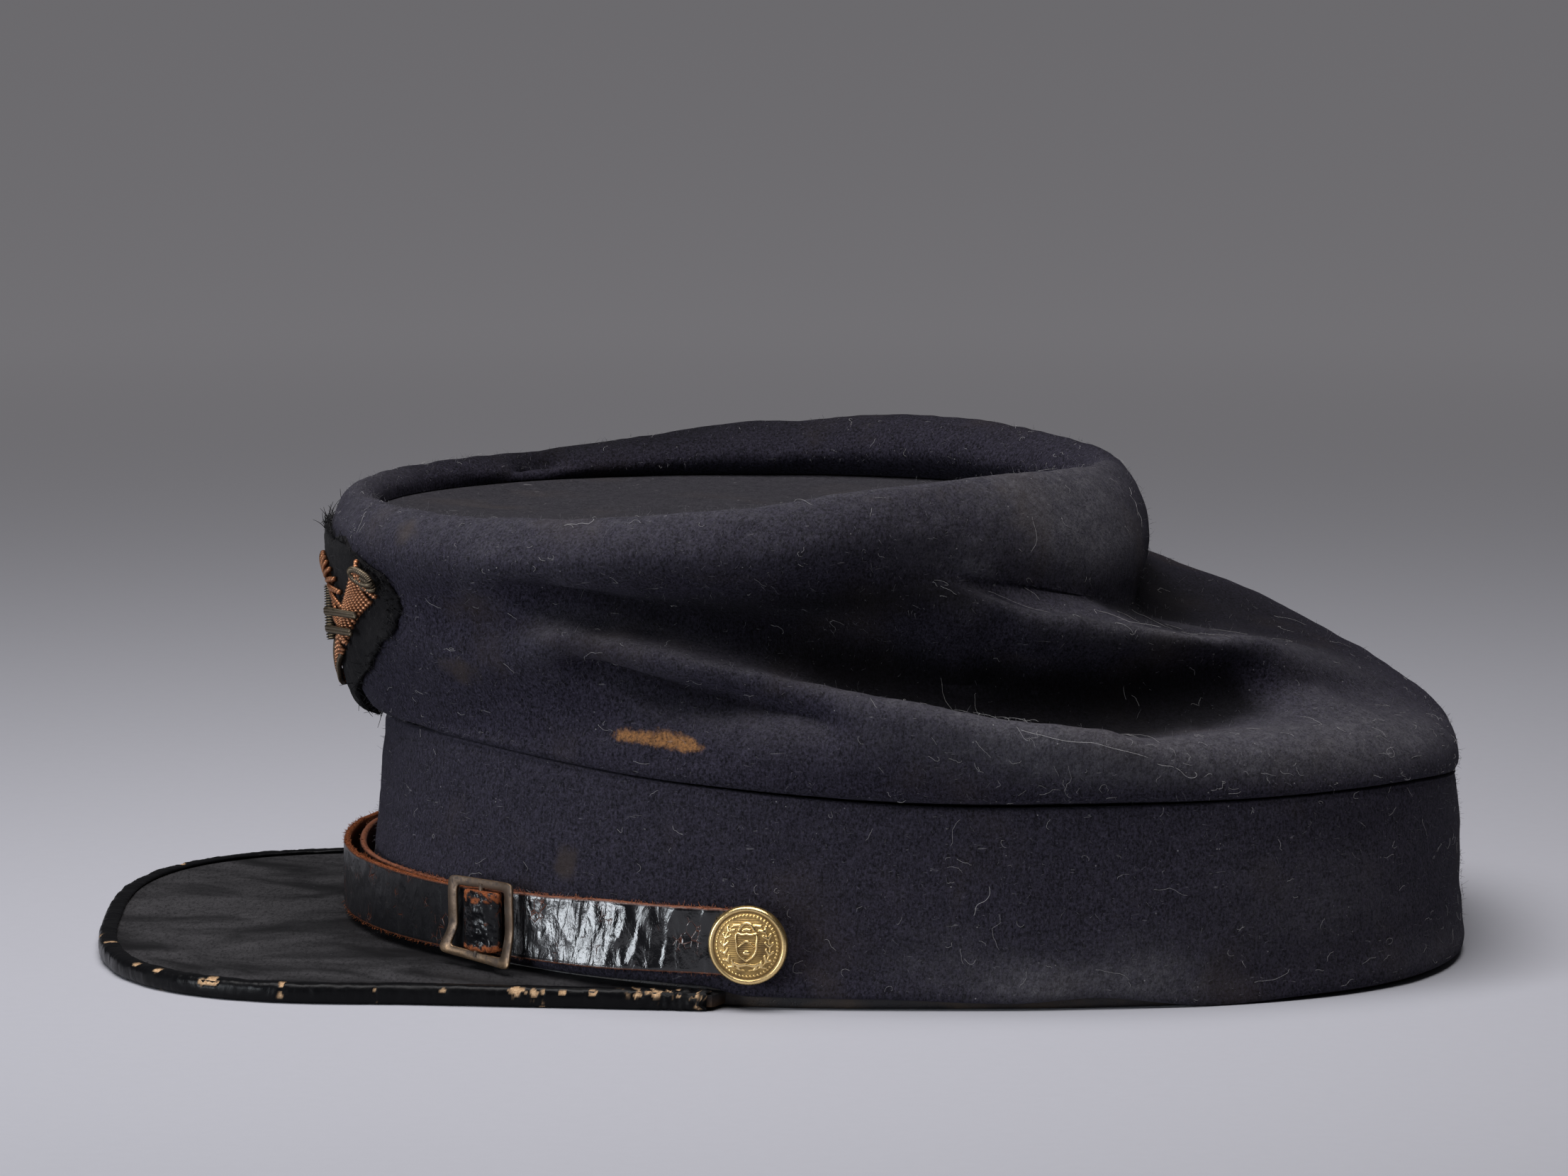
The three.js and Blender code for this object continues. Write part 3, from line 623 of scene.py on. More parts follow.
def loft(sections: Array, ends: Ends) -> Body:
    """Skins equal closed sections.

    Args:
        sections: Points by section and place round it.
        ends: How the loft is closed.

    Returns:
        The closed body.
    """
    count, loop = sections.shape[:2]
    index = np.arange(count * loop).reshape(count, loop)
    ahead = np.roll(index, -1, axis=0) if ends is Ends.RING else index[1:]
    here = index if ends is Ends.RING else index[:-1]
    quads = between_loops(here, ahead)
    caps: list[list[int]] = []
    if ends is Ends.FLAT:
        caps = [index[0].tolist(), index[-1][::-1].tolist()]
    if ends is Ends.SHEET:
        strip = []
        for k in range(loop // 2 - 1):
            strip.append([k, k + 1, loop - 2 - k, loop - 1 - k])
        first = np.array(strip)
        quads = np.concatenate([quads, index[0][first], index[-1][first[:, ::-1]]])
    return Body(sections.reshape(-1, 3), quads, caps).facing_out()


def tubes(
    paths: Array, radii: Array, sides: int = 6, twist: float = 0.0, ribs: float = 0.0
) -> Body:
    """Makes a closed tube along each path.

    Args:
        paths: Points by path and place along it.
        radii: Radius at each of them.
        sides: Faces round a tube.
        twist: Turns of the ribs for each step along the path.
        ribs: How deep the ribs of a twisted thread are, as a share of the radius.

    Returns:
        All tubes in one body.
    """
    many, steps = paths.shape[:2]
    along = unit(np.gradient(paths, axis=1))
    start = np.cross(along[:, 0], np.array([0.31, 0.52, 0.79]))
    weak = np.linalg.norm(start, axis=1) < 0.1
    start[weak] = np.cross(along[weak, 0], np.array([0.9, -0.3, 0.1]))
    side = np.empty_like(paths)
    side[:, 0] = unit(start)
    for k in range(1, steps):
        carried = side[:, k - 1]
        side[:, k] = unit(carried - (carried * along[:, k]).sum(1, keepdims=True) * along[:, k])
    other = np.cross(along, side)
    turn = full_circle(sides)
    swell = np.ones((steps, sides))
    if ribs:
        swell += ribs * np.cos(np.arange(steps)[:, None] * twist * 2 * np.pi + turn[None])
    reach = radii[:, :, None] * swell[None]
    rings = paths[:, :, None] + side[:, :, None] * (reach * np.cos(turn))[..., None]
    rings += other[:, :, None] * (reach * np.sin(turn))[..., None]
    index = np.arange(many * steps * sides).reshape(many, steps, sides)
    here, ahead = index[:, :-1], index[:, 1:]
    quads = between_loops(here, ahead)
    caps = index[:, 0].tolist() + index[:, -1, ::-1].tolist()
    return Body(rings.reshape(-1, 3), quads, caps).facing_out()


def grid_normals(points: Array, wrapped: bool = True) -> Array:
    """Finds the directions square to a grid of points.

    Args:
        points: Points by column and row.
        wrapped: Whether the last column is next to the first.

    Returns:
        A unit vector for each point, on the side that the rows' and columns' order gives.
    """
    across = np.gradient(points, axis=0)
    if wrapped:
        across = (np.roll(points, -1, axis=0) - np.roll(points, 1, axis=0)) / 2
    return unit(np.cross(across, np.gradient(points, axis=1)))


# ---- Shading ----
Input = Union["Value", "Tint", float, int, tuple, NodeSocket]


class Value:
    """A number that may change over a surface. Sums on it add Math nodes."""

    def __init__(self, bench: "Bench", socket: NodeSocket) -> None:
        """Keeps the socket and the bench that its nodes are on."""
        self.bench = bench
        self.socket = socket

    def _maths(self, operation: str, *inputs: Input, clamp: bool = False) -> "Value":
        """Adds a Math node."""
        settings = {"operation": operation, "use_clamp": clamp}
        return self.bench.node("ShaderNodeMath", settings, dict(enumerate(inputs)))

    def __add__(self, other: Input) -> "Value":
        """Adds."""
        return self._maths("ADD", self, other)

    __radd__ = __add__

    def __sub__(self, other: Input) -> "Value":
        """Takes other away."""
        return self._maths("SUBTRACT", self, other)

    def __rsub__(self, other: Input) -> "Value":
        """Is taken away from other."""
        return self._maths("SUBTRACT", other, self)

    def __mul__(self, other: Input) -> "Value":
        """Multiplies."""
        return self._maths("MULTIPLY", self, other)

    __rmul__ = __mul__

    def most(self, other: Input) -> "Value":
        """Takes the larger of two."""
        return self._maths("MAXIMUM", self, other)

    def limited(self) -> "Value":
        """Keeps within 0 and 1."""
        return self._maths("ADD", self, 0.0, clamp=True)

    def eased(self, low: float, high: float) -> "Value":
        """Eases from 0 at low to 1 at high, or the other way round if low is larger."""
        inputs = {0: self, 1: low, 2: high, 3: 0.0, 4: 1.0}
        return self.bench.node("ShaderNodeMapRange", {"interpolation_type": "SMOOTHSTEP"}, inputs)


class Tint:
    """A colour that may change over a surface."""

    def __init__(self, bench: "Bench", socket: NodeSocket) -> None:
        """Keeps the socket and the bench that its nodes are on."""
        self.bench = bench
        self.socket = socket

    def towards(self, other: Input, share: Input) -> "Tint":
        """Blends towards another colour by a share from 0 to 1."""
        return self.bench.blend(self, other, share)

    def times(self, share: Input) -> "Tint":
        """Darkens or lightens by a number."""
        return self.bench.blend((0, 0, 0), self, share, clamp=False)


class Bench:
    """The nodes of one material."""

    def __init__(self, name: str) -> None:
        """Makes a material with a Principled surface.

        Args:
            name: Name of the material.
        """
        self.material = bpy.data.materials.new(name)
        self.material.use_nodes = True
        self.tree = self.material.node_tree
        self.tree.nodes.clear()
        self.surface = self.tree.nodes.new("ShaderNodeBsdfPrincipled")
        output = self.tree.nodes.new("ShaderNodeOutputMaterial")
        self.tree.links.new(self.surface.outputs[0], output.inputs[0])
        self.place = self.node("ShaderNodeTexCoord", {}, {}, "Object").socket

    def _feed(self, socket: NodeSocket, value: Input) -> None:
        """Links a socket or sets its number or colour."""
        if isinstance(value, (Value, Tint)):
            value = value.socket
        if isinstance(value, NodeSocket):
            self.tree.links.new(value, socket)
        elif isinstance(value, tuple) and socket.type == "RGBA":
            socket.default_value = (*value[:3], 1.0)
        else:
            socket.default_value = value

    def node(self, kind: str, settings: dict, inputs: dict, output: Union[int, str] = 0) -> Value:
        """Adds any node.

        Args:
            kind: The node's type.
            settings: Its properties, which are set first.
            inputs: Values or links, by the number or name of the socket.
            output: The socket that is read.

        Returns:
            That socket, as a value.
        """
        made = self.tree.nodes.new(kind)
        for key, value in settings.items():
            setattr(made, key, value)
        for key, value in inputs.items():
            self._feed(made.inputs[key], value)
        return Value(self, made.outputs[output])

    def blend(self, first: Input, second: Input, share: Input, clamp: bool = True) -> Tint:
        """Mixes two colours, the first where share is 0 and the second where it is 1."""
        settings, inputs = {"data_type": "RGBA", "clamp_factor": clamp}, {0: share, 6: first, 7: second}
        return Tint(self, self.node("ShaderNodeMix", settings, inputs, 2).socket)

    def stretched(self, stretch: Triple, turn: float = 0.0) -> NodeSocket:
        """Scales the place on the object along X, Y and Z, so that a texture on it is drawn out.

        Args:
            stretch: Larger than 1 squeezes the texture along X, Y or Z.
            turn: Degrees by which those directions are turned round Z.

        Returns:
            The scaled place.
        """
        if stretch == (1, 1, 1):
            return self.place
        if turn:
            inputs = {"Vector": self.place, "Rotation": (0, 0, math.radians(turn))}
            inputs["Scale"] = tuple(1 / k for k in stretch)
            return self.node("ShaderNodeMapping", {"vector_type": "TEXTURE"}, inputs).socket
        inputs = {0: self.place, 1: stretch}
        return self.node("ShaderNodeVectorMath", {"operation": "MULTIPLY"}, inputs).socket

    def grain(
        self, size: float, detail: float = 2.0, stretch: Triple = (1, 1, 1),
        warp: float = 0.0, rough: float = 0.5, turn: float = 0.0,
    ) -> Value:
        """Adds soft noise.

        Args:
            size: Size of its features in millimetres.
            detail: How many finer layers it has.
            stretch: Larger than 1 squeezes it along X, Y or Z.
            warp: How far it is swirled.
            rough: How strong the finer layers are.
            turn: Degrees by which the stretch is turned round Z.

        Returns:
            A value from 0 to 1, 0.5 on the average.
        """
        inputs = {"Vector": self.stretched(stretch, turn), "Scale": 1 / (size * MM), "Detail": detail}
        return self.node("ShaderNodeTexNoise", {}, {**inputs, "Distortion": warp, "Roughness": rough})

    def cells(self, size: float, feature: str = "F1", stretch: Triple = (1, 1, 1)) -> Value:
        """Adds cells. F1 grows from each cell's middle, DISTANCE_TO_EDGE from its borders."""
        inputs = {"Vector": self.stretched(stretch), "Scale": 1 / (size * MM)}
        return self.node("ShaderNodeTexVoronoi", {"feature": feature}, inputs, "Distance")

    def read(self, name: str) -> Value:
        """Reads a value that the mesh carries from point to point."""
        return self.node("ShaderNodeAttribute", {"attribute_name": name}, {}, "Fac")

    def bump(self, height: Input, depth: float, strength: float = 1.0) -> NodeSocket:
        """Turns a height from 0 to 1 into a normal, with depth as the millimetres between them."""
        inputs = {"Strength": strength, "Distance": depth * MM, "Height": height}
        return self.node("ShaderNodeBump", {}, inputs).socket

    def finish(self, **inputs: Input) -> Material:
        """Feeds the surface's sockets, named with underscores, and returns the material."""
        for key, value in inputs.items():
            self._feed(self.surface.inputs[key.replace("_", " ")], value)
        return self.material


@dataclass(frozen=True)
class WoolFinish:
    """Napped dark-blue wool broadcloth, dusty and faded on its ridges, with painted shade that makes
    it nearly black in its folds.

    It reads "dust", "fade" and "rust" from the mesh, and the painted shade, each from 0 to 1. On the
    crown the dust is partly painted light on lit ridges and bulges.
    """

    name: str
    deep: Triple = (0.0026, 0.0023, 0.0042)
    open: Triple = (0.034, 0.0305, 0.048)
    brown: Triple = (0.033, 0.025, 0.022)
    grey: Triple = (0.105, 0.102, 0.112)
    rust: Triple = (0.27, 0.13, 0.047)
    lint: Triple = (0.33, 0.32, 0.33)
    sheen: float = 0.02
    nap_depth: float = 0.42

    def material(self) -> Material:
        """Builds the material.

        Returns:
            The material.
        """
        bench = Bench(self.name)
        clumps = bench.grain(5.5, 5, rough=0.62)
        nap = bench.grain(0.54, 3, rough=0.8)
        fibres = bench.grain(0.42, 2, stretch=(1, 1, 0.45), warp=0.8)
        shade = (clumps * 0.28 + nap * 2.5 + fibres * 1.4 - 1.67).limited()
        colour = bench.blend(self.deep, self.open, shade)
        drift = bench.grain(22, 3, warp=0.4)
        colour = colour.towards(self.brown, drift.eased(0.52, 0.78) * 0.45)
        fade = bench.read("fade") + (bench.grain(3.2, 3) - 0.5) * 0.9
        colour = colour.towards(self.brown, fade.eased(0.4, 1.0) * (0.45 + 0.6 * nap))
        powder = bench.grain(1.9, 6, rough=0.85).eased(0.4, 0.7)
        # On the crown the dust is partly painted light on lit ridges and bulges.
        dust = bench.read("dust") * (powder * 0.6 + nap * 0.9 - 0.05)
        colour = colour.towards(self.grey, dust * 0.68)
        rust = bench.read("rust") + (bench.grain(1.7, 5, rough=0.75) - 0.5) * 1.5
        colour = colour.towards(self.rust, rust.eased(0.35, 1.0) * (nap * 2.6 - 0.6).limited())
        specks = bench.cells(1.9).eased(0.1, 0.055) * bench.grain(4.5, 2).eased(0.55, 0.63)
        hairs = bench.grain(0.9, 1, stretch=(0.28, 0.28, 1.5), warp=1.3).eased(0.75, 0.785)
        colour = colour.towards(self.lint, (specks * 0.5).most(hairs * 0.22))
        # Painted shade: darkens the cloth in its folds and hollows and on its far side.
        colour = colour.times(1 - bench.read("sunk").limited() * 0.82)
        height = nap * 0.6 + fibres * 0.4 + clumps * 0.5
        return bench.finish(
            Base_Color=colour,
            Roughness=0.95,
            Specular_IOR_Level=0.10,
            Sheen_Weight=self.sheen,
            Sheen_Roughness=0.48,
            Sheen_Tint=(0.62, 0.60, 0.78),
            Normal=bench.bump(height, self.nap_depth, 0.85),
        )


@dataclass(frozen=True)
class FibreFinish:
    """Loose wool or cotton fibres. It reads "pale" from the mesh, from 0 for dark to 1 for pale."""

    name: str
    dark: Triple = (0.035, 0.032, 0.045)
    pale: Triple = (0.42, 0.41, 0.41)

    def material(self) -> Material:
        """Builds the material.

        Returns:
            The material.
        """
        bench = Bench(self.name)
        speckle = bench.grain(2, 2)
        colour = bench.blend(self.dark, self.pale, bench.read("pale"))
        colour = colour.times(0.7 + 0.6 * speckle)
        return bench.finish(Base_Color=colour, Roughness=0.9, Specular_IOR_Level=0.15, Sheen_Weight=0.2)


@dataclass(frozen=True)
class PeakFinish:
    """Black enamelled leather, dull with brushed dust and fine cracks.

    It reads "under" from the mesh, which is 1 on the bare underside.
    """

    name: str
    black: Triple = (0.006, 0.0058, 0.0066)
    dust: Triple = (0.098, 0.094, 0.100)
    bare: Triple = (0.045, 0.026, 0.015)

    def material(self) -> Material:
        """Builds the material.

        Returns:
            The material.
        """
        bench = Bench(self.name)
        patches = bench.grain(24, 4, stretch=(0.7, 1.3, 1), warp=0.8, rough=0.55, turn=-28)
        brushed = bench.grain(7, 5, stretch=(0.8, 0.5, 1), warp=0.9, rough=0.7, turn=-25)
        scuffs = bench.grain(1.4, 3, stretch=(0.14, 1, 1), warp=0.5, turn=-42)
        powder = bench.grain(0.6, 4, stretch=(1, 0.3, 1), rough=0.85)
        dusty = (patches.eased(0.32, 0.66) * (0.45 + 0.75 * brushed)).limited()
        share = dusty * 0.42 + (scuffs.eased(0.6, 0.8) * dusty) * 0.2
        share = share * (powder * 4.2 - 1.25).limited()
        under = bench.read("under")
        specks = bench.cells(3.4).eased(0.075, 0.035) * bench.grain(6, 1).eased(0.5, 0.6)
        colour = bench.blend(self.black, self.dust, share.most(specks * 0.5))
        colour = colour.towards(self.bare, under)
        cracks = bench.cells(2.4, "DISTANCE_TO_EDGE", stretch=(1, 1.6, 1)).eased(0.0, 0.05)
        rough = 0.55 + share * 0.4 + under * 0.3 + powder * 0.1
        height = bench.grain(0.7, 4, rough=0.65) * 0.35 + cracks * 0.12 + brushed * 0.6
        return bench.finish(
            Base_Color=colour,
            Roughness=rough.limited(),
            Specular_IOR_Level=0.13,
            Normal=bench.bump(height, 0.2, 0.7),
        )


@dataclass(frozen=True)
class GlossLeatherFinish:
    """Black lacquered leather, crinkled, worn through to tan.

    It reads "bare" from the mesh, which is 1 where the lacquer is gone, and "dull", which is 1 where
    the lacquer has lost its gloss.
    """

    name: str
    black: Triple = (0.0045, 0.0045, 0.0055)
    worn: Triple = (0.15, 0.036, 0.010)
    flesh: Triple = (0.33, 0.098, 0.030)
    dust: Triple = (0.018, 0.0185, 0.021)
    gloss: float = 0.17
    crack_size: float = 1.5
    cracked: float = 0.75
    crinkle: float = 0.42
    shine: float = 0.5

    def material(self) -> Material:
        """Builds the material.

        Returns:
            The material.
        """
        bench = Bench(self.name)
        bare = bench.read("bare")
        dull = bench.read("dull")
        fuzz = bench.grain(0.5, 4, rough=0.75)
        hide = bench.blend(self.worn, self.flesh, fuzz.eased(0.3, 0.75))
        cracks = bench.cells(self.crack_size, "DISTANCE_TO_EDGE", stretch=(1, 1, 0.8))
        cracks = (1 - cracks.eased(0.0, 0.07)) * bench.grain(5, 2).eased(0.55, 0.7) * self.cracked
        dusty = bench.grain(1.6, 5, stretch=(1, 1, 0.6), rough=0.75).eased(0.56, 0.78)
        dusty = dusty * (0.1 + 0.3 * dull)
        scratched = bench.grain(0.8, 3, stretch=(1, 1, 0.12), warp=0.3).eased(0.62, 0.74) * dull * 0.5
        colour = bench.blend(self.black, self.dust, dusty.most(scratched))
        colour = colour.towards(self.worn, cracks * 0.7)
        colour = colour.towards(hide, bare)
        smears = bench.grain(2.4, 4, stretch=(1, 1, 0.5)).eased(0.42, 0.75)
        rough = self.gloss + smears * 0.12 + dusty * 0.3 + dull * 0.2 + bare * 0.6
        wrinkles = bench.grain(3.0, 4, stretch=(1, 1, 0.4), warp=0.8) + bench.grain(0.5, 3) * 0.1
        height = wrinkles * (1 - dull * 0.6) - cracks * 0.25 + fuzz * bare * 0.8
        return bench.finish(
            Base_Color=colour,
            Roughness=rough.limited(),
            Specular_IOR_Level=self.shine,
            Normal=bench.bump(height, self.crinkle, 1.0),
        )


@dataclass(frozen=True)
class PlainLeatherFinish:
    """Dark glazed leather, rubbed and greasy, as in a sweatband."""

    name: str
    dark: Triple = (0.011, 0.010, 0.012)
    rubbed: Triple = (0.050, 0.034, 0.024)

    def material(self) -> Material:
        """Builds the material.

        Returns:
            The material.
        """
        bench = Bench(self.name)
        stains = bench.grain(14, 5, warp=0.5, rough=0.65)
        pores = bench.cells(0.55).eased(0.05, 0.4)
        colour = bench.blend(self.dark, self.rubbed, stains.eased(0.4, 0.75))
        creases = bench.grain(3.5, 4, stretch=(1, 1, 2.2), warp=0.8)
        height = pores * 0.4 + creases * 0.9
        rough = 0.42 + stains * 0.25
        return bench.finish(Base_Color=colour, Roughness=rough, Normal=bench.bump(height, 0.14, 0.8))


@dataclass(frozen=True)
class MetalFinish:
    """Brass or wire that has darkened in its recesses.

    It reads "deep" from the mesh, which is 1 in a recess, "bright", which is 1 on a rubbed edge, and
    "tone", which is 1 where the metal is the other one of the two.
    """

    name: str
    clean: Triple
    tarnish: Triple
    rubbed: Triple
    roughness: float = 0.36
    patchy: float = 0.6
    pit_depth: float = 0.05
    pit_size: float = 0.5
    other: Triple = (0.085, 0.070, 0.052)
    other_rubbed: Triple = (0.24, 0.185, 0.115)

    def material(self) -> Material:
        """Builds the material.

        Returns:
            The material.
        """
        bench = Bench(self.name)
        deep = bench.read("deep")
        bright = bench.read("bright")
        patches = bench.grain(2.4, 5, rough=0.68, warp=0.4)
        pits = bench.grain(self.pit_size, 3, rough=0.7)
        dirt = (patches.eased(0.46, 0.74) * self.patchy + deep * 0.85).limited()
        tone = bench.read("tone")
        clean = bench.blend(self.clean, self.other, tone)
        rubbed = bench.blend(self.rubbed, self.other_rubbed, tone)
        colour = clean.towards(rubbed, (bright * (0.5 + 0.7 * pits)).limited())
        colour = colour.towards(self.tarnish, dirt)
        rough = self.roughness + dirt * 0.34 + (pits - 0.5) * 0.2 - bright * 0.08
        return bench.finish(
            Base_Color=colour,
            Metallic=(1 - dirt * 0.55).limited(),
            Roughness=rough.limited(),
            Normal=bench.bump(pits, self.pit_depth, 0.7),
        )


@dataclass(frozen=True)
class VelvetFinish:
    """The badge's black wool backing, matted and dusty. It reads "fray", which is 1 at the edge."""

    name: str
    black: Triple = (0.0016, 0.0016, 0.0024)
    worn: Triple = (0.0105, 0.0095, 0.0105)
    lint: Triple = (0.20, 0.19, 0.18)

    def material(self) -> Material:
        """Builds the material.

        Returns:
            The material.
        """
        bench = Bench(self.name)
        pile = bench.grain(0.55, 3, rough=0.75)
        tufts = bench.grain(2.4, 4, rough=0.7)
        colour = bench.blend(self.black, self.worn, (pile * 0.6 + tufts * 0.8 - 0.35).limited())
        hairs = bench.grain(0.8, 1, stretch=(1.4, 1.4, 0.3), warp=1.2).eased(0.73, 0.78)
        frayed = bench.read("fray") * tufts.eased(0.5, 0.8) * 0.06
        colour = colour.towards(self.lint, (hairs * 0.4).most(frayed))
        return bench.finish(
            Base_Color=colour,
            Roughness=0.95,
            Specular_IOR_Level=0.12,
            Sheen_Weight=0.03,
            Sheen_Roughness=0.5,
            Normal=bench.bump(pile * 0.6 + tufts * 0.6, 0.45, 0.9),
        )


# ---- Cloth ----
@dataclass(frozen=True)
class Stain:
    """A stained, faded or dusty spot on the cloth, or a spot of painted shade.

    On the crown its height is a ring number, and on the band it is in millimetres. A strength
    below 0 lightens: it takes away from what the others add, and so paints light on painted shade.
    """

    angle: float
    height: float
    half_angle: float
    half_height: float
    strength: float = 1.0

    def over(self, angle: Array, height: Array) -> Array:
        """Reads how strong the spot is.

        Args:
            angle: Angles in degrees.
            height: Ring numbers or heights.

        Returns:
            The strength at each.
        """
        turned = (angle - self.angle + FULL_TURN / 2) % FULL_TURN - FULL_TURN / 2
        away = (turned / self.half_angle) ** 2 + ((height - self.height) / self.half_height) ** 2
        return self.strength * np.exp(-away)


def spots(stains: tuple[Stain, ...], angle: Array, height: Array) -> Array:
    """Adds up the strength of stains.

    Args:
        stains: The stains.
        angle: Angles in degrees.
        height: Ring numbers or heights.

    Returns:
        The sum at each angle and height.
    """
    total = np.zeros(np.shape(angle))
    for stain in stains:
        total = total + stain.over(angle, height)
    return total


@dataclass
class CrownCloth:
    """The tall soft side of the crown, sewn to the band below and to the disc above."""

    form: CapForm
    columns: int = 540
    rows: int = 144
    inner_rows: int = 24
    thick: float = 1.6
    pucker: float = 0.14
    seam_depth: float = 0.75
    even_rounds: int = 150
    rust: tuple[Stain, ...] = (
        Stain(52.8, 1.16, 2.7, 0.2, 1.0), Stain(58, 1.16, 3.2, 0.25, 1.05),
        Stain(60.5, 1.04, 1.6, 0.14, 0.7),
    )
    fade: tuple[Stain, ...] = (
        Stain(37.5, 6.5, 3.5, 0.5, 0.9), Stain(35, 2.75, 5, 0.7, 0.8), Stain(47, 5.6, 6, 0.8, 0.4),
        Stain(117, 6.8, 18, 0.4, 0.55), Stain(133, 6.2, 4, 0.7, 0.5), Stain(143, 6.6, 9, 0.6, 0.35),
        Stain(130, 5.2, 6, 0.5, 0.2), Stain(62, 7.1, 12, 0.4, 0.5), Stain(230, 5.5, 18, 1.2, 0.6),
        Stain(310, 2.8, 14, 0.8, 0.6), Stain(340, 6.6, 12, 0.5, 0.6),
    )
    # Dust spots; the one at 125 degrees is painted light, and the three low at the back partly so.
    dust: tuple[Stain, ...] = (
        Stain(108, 1.5, 18, 0.6, 0.6), Stain(137, 1.5, 22, 0.7, 1.0), Stain(119, 1.4, 14, 0.6, 0.7),
        Stain(146, 6.6, 14, 0.9, 0.95), Stain(118, 5.6, 9, 0.5, 0.5), Stain(138, 4.0, 12, 0.35, 0.4),
        Stain(255, 4.0, 30, 1.2, 0.2), Stain(125, 5.45, 3, 0.4, 0.4),
    )
    # Spots of painted shade in the hollows, on the back slope and on the far side; those below 0 are
    # painted light.
    shade: tuple[Stain, ...] = (
        Stain(78, 4.35, 9, 0.45, 0.75), Stain(92, 4.5, 10, 0.5, 0.8), Stain(106, 4.6, 10, 0.55, 0.75),
        Stain(116, 4.6, 7, 0.5, 0.6), Stain(130, 4.2, 8, 0.4, 0.5), Stain(129, 5.3, 8, 0.6, -1.0),
        Stain(119, 1.4, 16, 0.7, -0.5), Stain(137, 1.5, 22, 0.7, -0.5), Stain(172, 4.3, 24, 0.9, 0.5),
        Stain(197, 4.6, 17, 1.3, 0.62), Stain(290, 7.1, 55, 0.9, 0.85), Stain(215, 6.6, 26, 0.9, 0.35),
        Stain(80, 5.4, 16, 0.6, 0.2),
    )

    def outside(self) -> tuple[Array, Array, Array]:
        """Lays out the outside of the cloth.

        Returns:
            Points by column and row, and the angle and the ring of each.
        """
        rings = np.linspace(0, LAST_RING, self.rows + 1)
        angle, ring = np.meshgrid(round_cap(self.columns), rings, indexing="ij")
        points = self.form.crown(angle, ring)
        out = grid_normals(points)
        soft = 0.55 * ripple(points, 17, 3, 1) + 0.16 * ripple(points, 5, 3, 2)
        pucker = hump(ring, 0.5) * self.pucker * ripple(points * (1, 1, 0.25), 3.2, 2, 3)
        free = smooth_step(0.1, 1.0, ring) * smooth_step(9, 8.3, ring)
        push = soft * free - self.seam_depth * hump(ring, 0.14) + pucker
        return points + out * push[..., None], angle, ring

    def body(self) -> Body:
        """Skins the cloth, with its dust, rust and faded spots and its painted shade.

        The painted shade is darkest where the cloth lies under its own smoothed surface and at the
        shade spots. "dust" gathers where the cloth faces up and on its ridges, partly as painted light,
        and less of it on the far side is painted shade.

        Returns:
            The closed cloth.
        """
        points, angle, ring = self.outside()
        out = grid_normals(points)
        step = self.rows // self.inner_rows
        inner = (points - out * self.thick)[:, ::-1][:, ::step]
        loops = np.concatenate([points, inner], axis=1)
        body = loft(loops, Ends.RING)
        lying = np.clip(out[..., 2], 0, 1) ** 1.5
        # Painted shade: the deeper the cloth lies under its own smoothed surface, the darker it is
        # painted.
        level = ((evened(points, self.even_rounds) - points) * out).sum(-1)
        sunk = smooth_step(0.4, 4.0, level) * smooth_step(0.1, 0.6, ring)
        # Dust on ridges is partly painted light, and less dust on the far side is painted shade.
        worn = smooth_step(-0.2, -2.2, level)
        shaded = smooth_step(165, 185, angle) * smooth_step(345, 325, angle)
        dusty = (0.48 * lying + 0.2 * worn) * (1 - 0.85 * shaded) + spots(self.dust, angle, ring)

        def doubled(values: Array) -> Array:
            """Repeats the outside's values for the inside's rows."""
            return np.concatenate([values, values[:, ::-1][:, ::step]], axis=1).ravel()

        return body.tinted(
            rust=doubled(spots(self.rust, angle, ring)),
            fade=doubled(spots(self.fade, angle, ring)),
            dust=doubled(np.clip(dusty, 0, 1)),
            sunk=doubled(np.clip(sunk + spots(self.shade, angle, ring), 0, 1)),
        )

    def make(self, wool: Material) -> Pieces:
        """Makes the crown's side."""
        return [handed_over(self.body().to_object("crown_cloth", wool), "wool", "crown_side")]


@dataclass
class CrownDisc:
    """The stiff round top, sunk inside the puffed rim and sagging a little."""

    form: CapForm
    thick: float = 2.4
    rings: int = 56
    columns: int = 240
    sag: float = 1.3
    dust: float = 0.38

    def top(self, share: Array, turn: Array) -> Array:
        """Finds points of the upper face.

        Args:
            share: Shares of the radius.
            turn: Angles in radians.

        Returns:
            A point for each pair.
        """
        x = self.form.disc_middle + self.form.disc_radius * share * np.cos(turn)
        y = self.form.disc_radius * share * np.sin(turn)
        points = np.stack([x, y, self.form.disc_top(x, y)], -1)
        wavy = 0.9 * ripple(points, 45, 2, 4) + 0.2 * ripple(points, 9, 3, 5)
        points[..., 2] += (wavy - self.sag * (1 - share**2)) * smooth_step(1, 0.86, share)
        return points

    def body(self) -> Body:
        """Skins the disc.

        Returns:
            The closed disc.
        """
        share = np.linspace(1, 0.004, self.rings) ** 0.8
        grid_share, grid_turn = np.meshgrid(share, full_circle(self.columns), indexing="ij")
        upper = self.top(grid_share, grid_turn)
        lower = upper[:: self.rings // 8][::-1] - (0, 0, self.thick)
        edge = upper[0] - (0, 0, self.thick)
        sections = np.concatenate([upper[::-1], edge[None], lower[::-1][1:]])
        return loft(sections, Ends.FLAT).tinted(dust=self.dust)

    def make(self, wool: Material) -> Pieces:
        """Makes the disc."""
        return [handed_over(self.body().to_object("crown_disc", wool, 50), "wool_top", "crown_top")]


